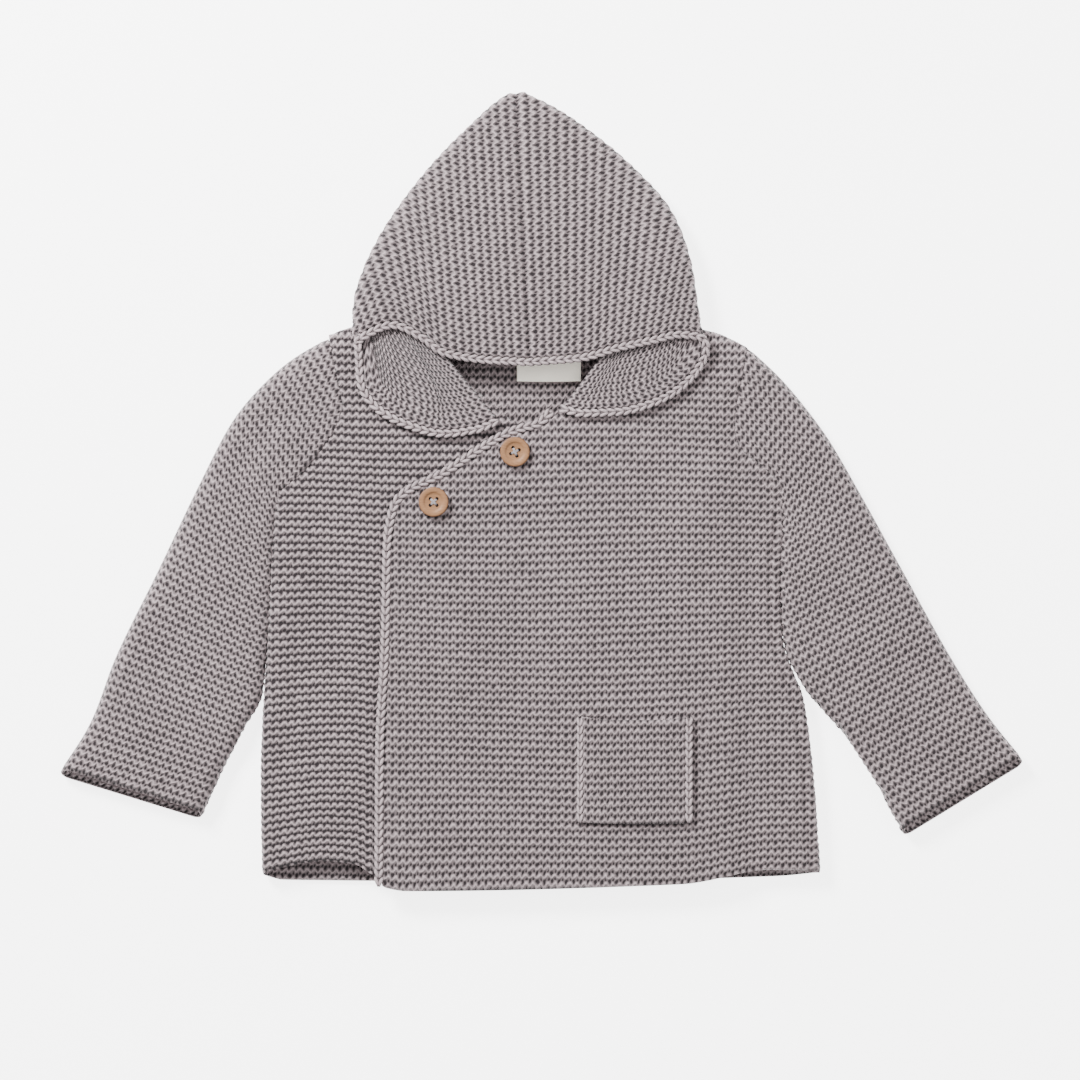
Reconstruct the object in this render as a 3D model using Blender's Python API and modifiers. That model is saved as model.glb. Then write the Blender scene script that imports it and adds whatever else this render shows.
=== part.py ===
"""Hooded wrap cardigan for a baby, garter stitch in thick cotton, laid flat on its back.

X runs across the garment, Y runs from the hem up to the point of the hood and Z runs up from the
surface that the back rests on. The origin is under the middle of the garment. Tables and named
sizes are in millimetres, and the meshes are made in metres.
"""

import math
from collections import namedtuple

import bmesh
import bpy
import numpy as np

MM = 0.001
WALL = 2.6
GAP = 0.3
LOFT = 5.2
PILE = WALL + GAP

# A flattened tube of two walls: its fold is a half circle of this radius, in the middle of the wall.
FOLD_RADIUS = (LOFT + WALL) / 2
SEAM_GAP = 1.4
ARMHOLE_GAP = 2.9
LOW_MID = WALL / 2
FOLD_MID = LOW_MID + FOLD_RADIUS
FRONT_MID = LOW_MID + 2 * FOLD_RADIUS
SHOULDER_MID = LOW_MID + PILE
SHOULDER_FALL = 22.0
ARC_COLUMNS = 4
EDGE_SAMPLES = 240
LAP_SAMPLES = 60
FOLD_SAMPLES = 200
OUTLINE_SAMPLES = 120
SHOULDER_ENDS = (112.0, 114.0)
HEM_END = (150.0, -205.0)

TRIM_RADIUS = 2.0
TRIM_BAND = 2 * TRIM_RADIUS + 4 * GAP
TRIM_BEVEL = 1

POCKET_SIZE = (62.6, 57.8)
POCKET_MIDDLE = (50.8, -150.7)
LABEL_SIZE = (34.6, 16.6)
LABEL_MIDDLE = (4.3, 67.3)
LABEL_WALL = 0.8
LABEL_CURL = 0.8

BUTTON_RADIUS = 8.0
BUTTON_HEIGHT = 3.2
BUTTON_DISH_RADIUS = 5.6
BUTTON_DISH_DEPTH = 0.8
BUTTON_HOLE_RADIUS = 0.95
BUTTON_HOLE_SPACING = 3.5
BUTTON_EDGE = 0.6
BUTTON_SEGMENTS = 28
HOLE_SEGMENTS = 10

# Both sides of the body, from the hem up to the underarms.
Side = namedtuple("Side", "y left right")
SIDES = (
    Side(-212.0, -151.3, 152.3),
    Side(-157.0, -152.3, 148.5),
    Side(-113.0, -150.7, 142.8),
    Side(-95.0, -149.6, 136.0),
    Side(-81.0, -148.8, 131.6),
    Side(-50.0, -147.2, 130.2),
    Side(-10.0, -145.3, 133.6),
)

# The armhole seams, from the underarms up to the shoulders.
Armhole = namedtuple("Armhole", "y left right")
ARMHOLES = (
    Armhole(-10.0, -145.3, 133.6),
    Armhole(-2.0, -143.6, 131.6),
    Armhole(5.0, -134.5, 128.6),
    Armhole(13.0, -126.4, 120.0),
    Armhole(24.0, -118.0, 107.5),
    Armhole(35.0, -110.7, 105.0),
    Armhole(46.0, -107.5, 105.9),
    Armhole(58.0, -109.6, 108.3),
    Armhole(80.0, -114.2, 112.6),
    Armhole(95.0, -117.2, 115.2),
)
UNDERARM = ARMHOLES[0].y
ARM_TURN = 15.0
BACK_COLUMNS = 15
BACK_ROWS = (0, 0.2, 0.4, 0.54, 0.64, 0.69, 0.715, 0.74, 0.765, 0.79, 0.82, 0.86, 0.93, 1)

# The top of the body: the shoulder seams and the back neck between them.
Top = namedtuple("Top", "x y")
NECK_LEFT = Top(-69.7, 94.2)
NECK_RIGHT = Top(49.1, 93.2)
TOP = (
    Top(-118.0, 81.0),
    Top(-108.5, 86.7),
    NECK_LEFT,
    Top(-50.0, 81.0),
    Top(-8.0, 76.2),
    Top(30.0, 81.0),
    NECK_RIGHT,
    Top(92.9, 86.0),
    Top(114.0, 76.5),
)

# The hems, a row for each place across.
Hem = namedtuple("Hem", "x y")
BACK_HEM = (Hem(-152, -207.5), Hem(-140, -211), Hem(0, -212), Hem(128, -209), Hem(153, -206.6))
RIGHT_FRONT_HEM = (
    Hem(-152, -207.0),
    Hem(-138, -203.3),
    Hem(-118, -200.2),
    Hem(-100, -202.0),
    Hem(-90, -207.5),
    Hem(85, -208.5),
)
LEFT_FRONT_HEM = (
    Hem(-90, -213.0),
    Hem(-72, -216.2),
    Hem(75, -212.5),
    Hem(124, -204.9),
    Hem(147, -205.5),
)

# The free edge of each front: up the wrap, round its corner, along the slant and the neckline.
Edge = namedtuple("Edge", "y x")
LEFT_FRONT_EDGE = (
    Edge(-217.0, -90.2),
    Edge(-140.0, -89.6),
    Edge(-80.0, -86.8),
    Edge(-30.0, -85.8),
    Edge(-12.0, -83.2),
    Edge(-2.0, -79.0),
    Edge(2.2, -73.5),
    Edge(12.7, -52.4),
    Edge(24.0, -35.6),
    Edge(34.3, -17.0),
    Edge(39.4, 0.0),
    Edge(42.5, 13.0),
    Edge(71.6, 35.6),
    Edge(93.5, 49.1),
)
RIGHT_FRONT_EDGE = (
    Edge(-209.0, 84.2),
    Edge(-30.0, 84.2),
    Edge(-12.0, 83.0),
    Edge(-2.0, 79.0),
    Edge(2.2, 70.0),
    Edge(18.0, 30.0),
    Edge(35.4, -11.3),
    Edge(53.0, -33.0),
    Edge(72.1, -54.5),
    Edge(94.5, -69.7),
)
FRONT_COLUMNS = 13
LEFT_FRONT_ROWS = (0, 0.17, 0.34, 0.5, 0.6, 0.66, 0.685, 0.705, 0.74, 0.775, 0.81, 0.834, 0.88, 0.94, 1)
RIGHT_FRONT_ROWS = (0, 0.2, 0.4, 0.56, 0.64, 0.675, 0.7, 0.73, 0.755, 0.78, 0.81, 0.87, 0.93, 1)
LAP_TURN = 16.0
LAP_CLEAR = 14.0

# The outer and inner folds of the sleeves, from the armhole to the cuff.
Fold = namedtuple("Fold", "outer_x outer_y inner_x inner_y")
LEFT_SLEEVE = (
    Fold(-115.6, 82.9, -143.5, -2.0),
    Fold(-136.1, 70.5, -146.6, -28.0),
    Fold(-153.9, 54.3, -147.7, -50.0),
    Fold(-166.9, 38.1, -149.0, -72.0),
    Fold(-184.1, 5.7, -151.0, -95.0),
    Fold(-207.4, -42.9, -152.6, -110.0),
    Fold(-231.1, -91.5, -163.0, -130.0),
    Fold(-243.5, -123.9, -174.5, -152.0),
    Fold(-260.2, -150.0, -184.7, -174.0),
)
RIGHT_SLEEVE = (
    Fold(112.6, 77.5, 131.6, -2.0),
    Fold(130.0, 61.0, 133.0, -26.0),
    Fold(142.6, 46.2, 131.6, -46.0),
    Fold(155.6, 28.5, 132.2, -64.0),
    Fold(172.0, 0.5, 134.6, -84.0),
    Fold(196.0, -43.0, 146.6, -108.5),
    Fold(223.0, -91.5, 165.0, -130.0),
    Fold(241.5, -120.5, 182.0, -155.0),
    Fold(260.2, -143.6, 197.6, -184.0),
)
SLEEVE_RINGS = 12
SLEEVE_ARC = 4
SLEEVE_FLAT = 11
SHOULDER_SHARE = 0.25
CUFF_LIP = 4.5
CAP_LENGTH = 0.2
UNDERARM_CLEAR = 1.9
UNDERARM_BOW = 17.0
BOW_END = (0.1, 0.85)

# The hood. Its side folds run from the point down to where the face edge turns under.
Profile = namedtuple("Profile", "y left right top fold")
HOOD_PROFILE = (
    Profile(73.0, -100.6, 91.3, 15.5, 12.4),
    Profile(90.0, -102.6, 87.0, 16.0, 10.5),
    Profile(103.0, -101.5, 84.9, 16.2, 8.8),
    Profile(119.0, -96.7, 82.6, 16.0, 8.0),
    Profile(135.0, -89.1, 78.3, 15.2, 7.4),
    Profile(151.5, -78.8, 70.7, 14.0, 6.8),
    Profile(175.8, -59.9, 49.1, 11.6, 5.6),
    Profile(200.0, -36.2, 18.9, 8.6, 4.4),
    Profile(211.0, -23.5, 0.0, 6.8, 3.9),
    Profile(216.0, -14.0, -13.0, 5.6, 3.6),
)
HOOD_MIDDLE = -8.0
PEAK = (-13.5, 215.6)
HOOD_FLATNESS = 5.0
FOLD_INSET = 1.6
HOOD_FALL = 15.0
HOOD_CLEAR = 0.8
NECK_FLAT = 26.0
BACK_NECK = 76.2

# The face edge of the hood on each side, from its top seam round to the front neck.
Face = namedtuple("Face", "x y")
LEFT_FACE = (
    Face(-6.0, 67.0),
    Face(-30.2, 68.3),
    Face(-52.4, 72.1),
    Face(-66.0, 81.0),
    Face(-80.0, 87.0),
    Face(-91.5, 82.8),
    Face(-100.2, 74.4),
    Face(-99.2, 58.0),
    Face(-92.5, 45.6),
    Face(-76.1, 34.8),
    Face(-52.4, 28.6),
    Face(-34.0, 31.0),
    Face(-21.5, 36.2),
)
RIGHT_FACE = (
    Face(-6.0, 67.0),
    Face(22.1, 69.4),
    Face(42.1, 74.8),
    Face(61.6, 79.1),
    Face(74.5, 81.8),
    Face(84.5, 80.6),
    Face(90.8, 74.4),
    Face(85.3, 63.0),
    Face(74.5, 52.4),
    Face(60.5, 45.1),
    Face(42.1, 40.4),
    Face(22.1, 39.6),
    Face(9.5, 42.4),
)
HOOD_RIBS = 21
HOOD_TOP = 9
HOOD_LOW = 8
LOBE_BLEND = (60.0, 15.0)
LEAST_SLANT = 0.4
LOBE_REACH = 9.0
RIB_CROWDING = 0.2
SQUARE_BY = 0.25
SEAM_FROM = 0.6
SEAM_OVER = 0.4
ROLL_END = 98.0
ROLL_LEAN = 0.5
ROLL_IN = 3.0

TRIM_POINTS = 46
FRONT_TRIM_POINTS = 26
TRIM_RISE = 0.8
WRAP_END = 40.0
POCKET_COLUMNS = 5
LABEL_ROWS = 5
LABEL_COLUMNS = 6
JOIN = 0.02

# Where each button sits, and how far its holes are turned.
BUTTONS = {"button_upper": ((-14.0, 20.8), -0.35), "button_lower": ((-57.8, -6.2), 0.0)}

COLOURS = {
    "yarn": (0.36, 0.315, 0.32, 1.0),
    "trim": (0.42, 0.37, 0.375, 1.0),
    "wood": (0.5, 0.28, 0.14, 1.0),
    "label": (0.86, 0.82, 0.74, 1.0),
}
ROUGHNESS = {"yarn": 0.9, "trim": 0.9, "wood": 0.6, "label": 0.7}


def smooth_curve(at, places, values):
    """Values at some places on a smooth curve through a table's points, with no overshoot."""
    places = np.asarray(places, float)
    values = np.asarray(values, float)
    steps = np.diff(places)
    slopes = np.diff(values) / steps
    tangents = np.zeros(len(places))
    rising = slopes[:-1] * slopes[1:] > 0
    both = np.where(rising, slopes[:-1] + slopes[1:], 1.0)
    tangents[1:-1] = np.where(rising, 2 * slopes[:-1] * slopes[1:] / both, 0.0)
    tangents[0] = slopes[0]
    tangents[-1] = slopes[-1]
    at = np.clip(at, places[0], places[-1])
    i = np.clip(np.searchsorted(places, at) - 1, 0, len(steps) - 1)
    t = (at - places[i]) / steps[i]
    ends = values[i] * (1 + 2 * t) * (1 - t) ** 2 + values[i + 1] * t * t * (3 - 2 * t)
    bends = tangents[i] * t * (1 - t) ** 2 + tangents[i + 1] * t * t * (t - 1)
    return ends + steps[i] * bends


def column(rows, name):
    """One named column of a table."""
    return [getattr(row, name) for row in rows]


def along(rows, key, name, at):
    """A table's column, read at places along its key column."""
    return smooth_curve(at, column(rows, key), column(rows, name))


def ease(t):
    """A smooth step from 0 to 1."""
    t = np.clip(t, 0.0, 1.0)
    return t * t * (3 - 2 * t)


def dome(t):
    """A quarter of a circle, from 0 up to 1."""
    t = np.clip(t, 0.0, 1.0)
    return np.sqrt(1 - (1 - t) ** 2)


def mix(a, b, t):
    """The value a share t of the way from a to b."""
    return a + (b - a) * t


def through(points, count):
    """Points evenly along a smooth curve through a table's points."""
    points = np.asarray(points, float)
    chord = np.concatenate([[0], np.cumsum(np.linalg.norm(np.diff(points, axis=0), axis=1))])
    fine = np.linspace(0, chord[-1], 12 * len(points))
    curve = np.stack([smooth_curve(fine, chord, p) for p in points.T], axis=1)
    run = np.concatenate([[0], np.cumsum(np.linalg.norm(np.diff(curve, axis=0), axis=1))])
    even = np.linspace(0, run[-1], count)
    return np.stack([np.interp(even, run, p) for p in curve.T], axis=1)


# Heights of the middle of each wall.


def shoulder_line(x):
    """How far up the shoulder seams reach, with the necks' height held between them."""
    top = along(TOP, "x", "y", x)
    between = (x > NECK_LEFT.x) & (x < NECK_RIGHT.x)
    neck = mix(NECK_LEFT.y, NECK_RIGHT.y, (x - NECK_LEFT.x) / (NECK_RIGHT.x - NECK_LEFT.x))
    return np.where(between, neck, top)


def front_height(x, y):
    """The middle of a front that lies straight over the back."""
    return mix(SHOULDER_MID, FRONT_MID, dome((shoulder_line(x) - y) / SHOULDER_FALL))


def lap_lift(x, y):
    """How far the left front is raised by the right front under it."""
    rows = np.linspace(RIGHT_FRONT_EDGE[0].y, RIGHT_FRONT_EDGE[-1].y, LAP_SAMPLES)
    edge = np.stack([along(RIGHT_FRONT_EDGE, "y", "x", rows), rows], axis=1)
    place = np.stack([x, y], axis=-1)
    away = np.linalg.norm(place[..., None, :] - edge, axis=-1).min(axis=-1)
    outside = x > along(RIGHT_FRONT_EDGE, "y", "x", y)
    return PILE * (1 - ease((np.where(outside, away, 0.0) - LAP_CLEAR) / LAP_TURN))


def over_height(x, y):
    """The middle of the left front, over the right front or straight over the back."""
    return front_height(x, y) + lap_lift(x, y)


# Panels, each a grid of rows up the garment and columns across it.


def side_outline(y, side):
    """The outline of the body on one side: its side, and the armhole above the underarm."""
    name = "left" if side < 0 else "right"
    return np.where(y < UNDERARM, along(SIDES, "y", name, y), along(ARMHOLES, "y", name, y))


def fold_columns(y, side, up):
    """Columns from a side seam over its quarter fold, inwards onto the flat, for heights y."""
    past = ease((y - UNDERARM) / ARM_TURN)[:, None]
    start = mix(SEAM_GAP / 2 / FOLD_RADIUS, math.pi / 2, past)
    inset = mix(FOLD_RADIUS + WALL / 2, GAP, past)
    middle = side_outline(y, side)[:, None] - side * inset
    run = np.arange(ARC_COLUMNS)[None, :] * (math.pi / 2 * FOLD_RADIUS / (ARC_COLUMNS - 1))
    angle = np.minimum(start + run / FOLD_RADIUS, math.pi / 2)
    flat = np.maximum(run - (math.pi / 2 - start) * FOLD_RADIUS, 0.0)
    x = middle + side * (FOLD_RADIUS * np.cos(angle) - flat)
    return x, FOLD_MID + up * FOLD_RADIUS * np.sin(angle)


def inset_edge(rows, side, band):
    """The free edge of a front, moved into the cloth by the width of its band."""
    y = np.linspace(rows[0].y, rows[-1].y, EDGE_SAMPLES)
    x = along(rows, "y", "x", y)
    tangent = np.stack([np.gradient(x), np.gradient(y)], axis=1)
    tangent /= np.linalg.norm(tangent, axis=1)[:, None]
    width = np.where(y < WRAP_END, band, GAP)
    moved_y = y - width * tangent[:, 0] * side
    moved_x = x + width * tangent[:, 1] * side
    order = np.argsort(moved_y)
    return moved_y[order], moved_x[order]


def levels(hem, top, rows):
    """Heights up the garment for rows of a panel, evenly from its hem to its top."""
    return mix(hem[None, :], top[None, :], np.asarray(rows)[:, None])


def front_grid(side, free_edge, band, hem, height, rows, neck_y):
    """A front's middle surface, from its side or armhole seam across to its free edge."""
    across = np.concatenate([np.zeros(ARC_COLUMNS), np.linspace(0, 1, FRONT_COLUMNS)[1:]])
    hem_x = mix(side * HEM_END[0], along(free_edge, "y", "x", HEM_END[1]), across)
    top = mix(float(shoulder_line(side * SHOULDER_ENDS[1])), neck_y, across) - GAP
    y = levels(along(hem, "x", "y", hem_x), top, rows)
    fold_x, fold_z = fold_columns(y[:, 0], side, 1)
    edge_y, edge_x = inset_edge(free_edge, side, band)
    x = mix(fold_x[:, -1:], np.interp(y, edge_y, edge_x), across)
    x[:, :ARC_COLUMNS] = fold_x
    z = height(x, y)
    z[:, :ARC_COLUMNS] = np.minimum(z[:, :ARC_COLUMNS], fold_z)
    return np.stack([x, y, z], axis=-1)


def back_grid():
    """The back's middle surface, from seam to seam."""
    flat = np.linspace(0, 1, BACK_COLUMNS)[1:-1]
    across = np.concatenate([np.zeros(ARC_COLUMNS), flat, np.ones(ARC_COLUMNS)])
    hem = along(BACK_HEM, "x", "y", mix(-150.0, 150.0, across))
    top = along(TOP, "x", "y", mix(-SHOULDER_ENDS[1], SHOULDER_ENDS[0], across)) - GAP
    y = levels(hem, top, BACK_ROWS)
    left_x, left_z = fold_columns(y[:, 0], -1, -1)
    right_x, right_z = fold_columns(y[:, -1], 1, -1)
    x = mix(left_x[:, -1:], right_x[:, -1:], across)
    x[:, :ARC_COLUMNS] = left_x
    x[:, -ARC_COLUMNS:] = right_x[:, ::-1]
    z = np.full_like(x, LOW_MID)
    z[:, :ARC_COLUMNS] = left_z
    z[:, -ARC_COLUMNS:] = right_z[:, ::-1]
    return np.stack([x, y, z], axis=-1)


def armhole_side(y, side):
    """How close to the body the middle of a sleeve's wall may come, for heights y."""
    slope = side_outline(y + 1.0, side) - side_outline(y - 1.0, side)
    return side_outline(y, side) + side * ARMHOLE_GAP * np.sqrt(1 + (slope / 2) ** 2)


def sleeve_grid(side, folds):
    """A sleeve's middle surface, in closed rings from its armhole to its cuff."""
    share = np.linspace(0, 1, SLEEVE_RINGS)
    outer = through([(f.outer_x, f.outer_y) for f in folds], FOLD_SAMPLES)
    inner = through([(f.inner_x + side * UNDERARM_CLEAR, f.inner_y) for f in folds], FOLD_SAMPLES)
    steps = np.linspace(0, 1, FOLD_SAMPLES)
    quarter = np.linspace(0, math.pi, SLEEVE_ARC + 1)[1:-1]
    flat = np.linspace(0, 1, SLEEVE_FLAT)
    rings = []
    for b in share:
        start = np.array([np.interp(b, steps, p) for p in outer.T])
        end = np.array([np.interp(b, steps, p) for p in inner.T])
        width = np.linalg.norm(end - start)
        edge = FOLD_RADIUS + WALL / 2
        top = mix(edge, width - edge, flat)
        place = np.concatenate(
            [
                top,
                width - edge + FOLD_RADIUS * np.sin(quarter),
                top[::-1],
                edge - FOLD_RADIUS * np.sin(quarter),
            ]
        )
        height = np.concatenate(
            [
                np.full(SLEEVE_FLAT, FRONT_MID),
                FOLD_MID + FOLD_RADIUS * np.cos(quarter),
                np.full(SLEEVE_FLAT, LOW_MID),
                FOLD_MID - FOLD_RADIUS * np.cos(quarter),
            ]
        )
        across = place / width
        out = np.array([-(end - start)[1], (end - start)[0]]) * -side / width
        bow = UNDERARM_BOW * ease(b / BOW_END[0]) * (1 - ease((b - BOW_END[0]) / (BOW_END[1] - BOW_END[0])))
        ring = start + (end - start) * across[:, None]
        ring -= out * (4 * bow * across**2 * (1 - across))[:, None]
        seam = armhole_side(ring[:, 1], side)
        ring[:, 0] += (1 - ease(b / CAP_LENGTH)) * (seam - ring[:, 0])
        ring[:, 0] = side * np.maximum(side * ring[:, 0], side * seam)
        squash = mix(1.0, dome((place + WALL) / SHOULDER_FALL), 1 - ease(b / SHOULDER_SHARE))
        lift = mix(SHOULDER_MID - LOW_MID, 2 * FOLD_RADIUS, squash) / (2 * FOLD_RADIUS)
        height = LOW_MID + (height - LOW_MID) * lift
        below = (FRONT_MID - height) / (2 * FOLD_RADIUS)
        ring -= out * (CUFF_LIP * ease((b - 0.8) / 0.2) * below)[:, None]
        points = np.column_stack([ring, height])
        rings.append(np.vstack([points, points[:1]]))
    return np.array(rings)


def body_top(x):
    """The highest Y of the back and the fronts together, across the whole width."""
    return along(TOP, "x", "y", x)


def hood_low(x, y, over):
    """The middle of the hood's lower sheet: on the surface, and up over the neck and the fronts."""
    past = y - body_top(x)
    on_front = over + PILE + HOOD_CLEAR
    from_middle = np.abs(x - HOOD_MIDDLE)
    edge = mix(SHOULDER_MID, on_front, ease((from_middle - NECK_FLAT) / NECK_FLAT))
    behind = mix(edge, LOW_MID, ease((past - HOOD_CLEAR) / HOOD_FALL))
    return np.where(past > 0, behind, np.maximum(on_front, edge))


def hood_level(y, name):
    """A column of the hood's profile at heights y."""
    return along(HOOD_PROFILE, "y", name, y)


def hood_side(y, name):
    """The middle of the wall at a side fold of the hood, for heights y."""
    inset = FOLD_INSET if name == "left" else -FOLD_INSET
    return hood_level(y, name) + inset


def hood_roll(x, y):
    """How far a place lies out towards the hood's side folds, from 0 to 1."""
    left = HOOD_MIDDLE - hood_side(y, "left")
    right = hood_side(y, "right") - HOOD_MIDDLE
    half = np.where(x < HOOD_MIDDLE, left, right)
    return np.clip(np.abs(x - HOOD_MIDDLE) / np.maximum(half, 1.0), 0, 1)


def hood_round(roll):
    """The rounding of a sheet towards the side folds, 1 in the middle and 0 at the folds."""
    return (1 - roll**HOOD_FLATNESS) ** (1 / HOOD_FLATNESS)


def hood_under(x, y, over):
    """The middle of the hood's lower sheet, rolled up towards its side folds."""
    low = hood_low(x, y, over)
    fold = hood_level(y, "fold")
    roll = hood_roll(x, y) * ease((y - LOBE_BLEND[0]) / LOBE_BLEND[1])
    return fold + (low - fold) * hood_round(roll)


def band_step(way, tangent):
    """The step inwards from the face edge that clears its trim, along a rib that may be oblique."""
    way = way / np.linalg.norm(way)
    across = abs(way[0] * tangent[1] - way[1] * tangent[0])
    return way * TRIM_BAND / max(across, LEAST_SLANT)


def hood_half(side, face):
    """Half of the hood: ribs from the top seam round to the neck seam, each from its trim."""
    edge = through([(f.x, f.y) for f in face], HOOD_RIBS)
    turn = int(np.argmax(edge[:, 0] * side))
    down = np.linspace(PEAK[1], edge[turn, 1], OUTLINE_SAMPLES)
    name = "left" if side < 0 else "right"
    outline = np.stack([hood_side(down, name), down], axis=1)
    outline[0] = PEAK
    run = np.concatenate([[0], np.cumsum(np.linalg.norm(np.diff(outline, axis=0), axis=1))])
    neck = NECK_LEFT if side < 0 else NECK_RIGHT
    tangent = np.gradient(edge, axis=0)
    tangent /= np.linalg.norm(tangent, axis=1)[:, None]
    ribs = []
    for i, start in enumerate(edge):
        share = i / (HOOD_RIBS - 1)
        back = np.array([HOOD_MIDDLE, mix(PEAK[1], BACK_NECK + 2 * GAP, share)])
        if i < turn:
            u = i / turn
            at = run[-1] * mix(u, u**3, RIB_CROWDING)
            fold = np.array([np.interp(at, run, p) for p in outline.T])
            step = band_step(fold - start, tangent[i])
            first = start + step
            t = np.sin(np.linspace(0, math.pi / 2, HOOD_TOP))[:, None]
            upper = mix(first, fold, t)
            t = 1 - np.cos(np.linspace(0, math.pi / 2, HOOD_LOW + 1))[1:, None]
            lower = mix(fold, back, t)
        else:
            u = (i - turn) / (HOOD_RIBS - 1 - turn)
            shoulder = np.array([hood_side(ROLL_END, name) - side * ROLL_IN, ROLL_END])
            corner = mix(shoulder, np.array([neck.x + side, neck.y + 2.0]), u)
            square = np.array([-tangent[i][1], tangent[i][0]]) * -side
            way = mix(np.array([-side * ROLL_LEAN, 1.0]), square, ease(u / SQUARE_BY))
            seam = corner - start
            way = mix(way, seam / np.linalg.norm(seam), ease((u - SEAM_FROM) / SEAM_OVER))
            step = band_step(way, tangent[i])
            first = start + step
            upper = through([first, first + LOBE_REACH * way, corner], HOOD_TOP)
            lower = mix(corner, back, np.linspace(0, 1, HOOD_LOW + 1)[1:, None])
        plan = np.vstack([start + step * (TRIM_RADIUS / TRIM_BAND), upper, lower])
        x, y = plan.T
        fold_z = hood_level(y, "fold")
        round_up = hood_round(hood_roll(x, y))
        z = hood_under(x, y, FRONT_MID + (lap_lift(x, y) if side > 0 else 0.0))
        if i < turn:
            top_z = fold_z + (hood_level(y, "top") - fold_z) * round_up
            z[: HOOD_TOP + 1] = top_z[: HOOD_TOP + 1]
        ribs.append(np.column_stack([x, y, z]))
    return np.array(ribs)


def hood_grid():
    """Ribs of the hood's middle surface from the left front neck to the right, each from its trim."""
    left = hood_half(-1, LEFT_FACE)
    right = hood_half(1, RIGHT_FACE)
    return np.concatenate([left[::-1], right[1:]])


def face_line():
    """The middle of the trim along the hood's face edge."""
    ribs = hood_grid()
    line = ribs[:, 0]
    high = np.pad(np.maximum(line[:, 2], ribs[:, 1, 2]), 1, mode="edge")
    line[:, 2] = np.maximum(np.maximum(high[:-2], high[1:-1]), high[2:]) + TRIM_RISE
    return through(line, TRIM_POINTS)


def wrap_line():
    """The middle of the trim up the left front's wrap edge and along its slant."""
    y = np.array([row.y for row in LEFT_FRONT_EDGE if row.y < WRAP_END])
    x = np.array([row.x for row in LEFT_FRONT_EDGE if row.y < WRAP_END])
    line = through(np.column_stack([x, y]), FRONT_TRIM_POINTS)
    tangent = np.gradient(line, axis=0)
    tangent /= np.linalg.norm(tangent, axis=1)[:, None]
    line += np.column_stack([tangent[:, 1], -tangent[:, 0]]) * TRIM_RADIUS
    height = over_height(line[:, 0], line[:, 1]) + TRIM_RISE
    return np.column_stack([line, height])


def pocket_grid():
    """The pocket, a patch of the left front's points moved out."""
    x = POCKET_MIDDLE[0] + POCKET_SIZE[0] * np.linspace(-0.5, 0.5, POCKET_COLUMNS)
    y = POCKET_MIDDLE[1] + POCKET_SIZE[1] * np.linspace(-0.5, 0.5, POCKET_COLUMNS)
    x, y = np.meshgrid(x, y)
    return np.stack([x, y, over_height(x, y) + PILE], axis=-1)


def label_grid():
    """The label, hanging from the back neck seam onto the inside of the back."""
    share = np.linspace(0, 1, LABEL_ROWS)
    x = LABEL_MIDDLE[0] + LABEL_SIZE[0] * np.linspace(-0.5, 0.5, LABEL_COLUMNS)
    y = LABEL_MIDDLE[1] + LABEL_SIZE[1] * (share - 0.5)
    x, y = np.meshgrid(x, y)
    lift = LABEL_CURL * (1 - ease(share / 0.5))[:, None] * np.ones_like(x)
    return np.stack([x, y, WALL + GAP + LABEL_WALL / 2 + lift], axis=-1)


# Objects.


def clear_scene():
    """Remove every object of the scene that is open."""
    for item in list(bpy.data.objects):
        bpy.data.objects.remove(item, do_unlink=True)


def collection(name):
    """A new collection in the scene."""
    made = bpy.data.collections.new(name)
    bpy.context.scene.collection.children.link(made)
    return made


def material(name):
    """A plain finish for the design, one for each object."""
    made = bpy.data.materials.new(name)
    made.use_nodes = True
    shader = made.node_tree.nodes["Principled BSDF"]
    shader.inputs["Base Color"].default_value = COLOURS[name]
    shader.inputs["Roughness"].default_value = ROUGHNESS[name]
    shader.inputs["Metallic"].default_value = 0.0
    return made


def add_object(name, data, finish, home):
    """An object in its collection, with its finish."""
    made = bpy.data.objects.new(name, data)
    home.objects.link(made)
    if finish:
        data.materials.append(material(finish))
    return made


def sheet(name, grid, wall, finish, home):
    """A wall of cloth on a grid of points: a primitive grid, moved onto them and thickened."""
    rows, columns = grid.shape[:2]
    shape = bmesh.new()
    bmesh.ops.create_grid(shape, x_segments=columns - 1, y_segments=rows - 1, size=1.0)
    for point in shape.verts:
        i = round((point.co.x + 1) / 2 * (columns - 1))
        j = round((point.co.y + 1) / 2 * (rows - 1))
        point.co = grid[j, i] * MM
    bmesh.ops.remove_doubles(shape, verts=shape.verts, dist=JOIN * MM)
    mesh = bpy.data.meshes.new(name)
    shape.to_mesh(mesh)
    shape.free()
    mesh.shade_smooth()
    made = add_object(name, mesh, finish, home)
    thick = made.modifiers.new("Wall", "SOLIDIFY")
    thick.thickness = wall * MM
    thick.offset = 0.0
    return made


def trim(name, line, home):
    """A round cord of chain stitches along a line."""
    curve = bpy.data.curves.new(name, "CURVE")
    curve.dimensions = "3D"
    curve.bevel_depth = TRIM_RADIUS * MM
    curve.bevel_resolution = TRIM_BEVEL
    curve.use_fill_caps = True
    spline = curve.splines.new("POLY")
    spline.points.add(len(line) - 1)
    for point, place in zip(spline.points, line * MM, strict=True):
        point.co = (*place, 1.0)
    return add_object(name, curve, "trim", home)


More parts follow.
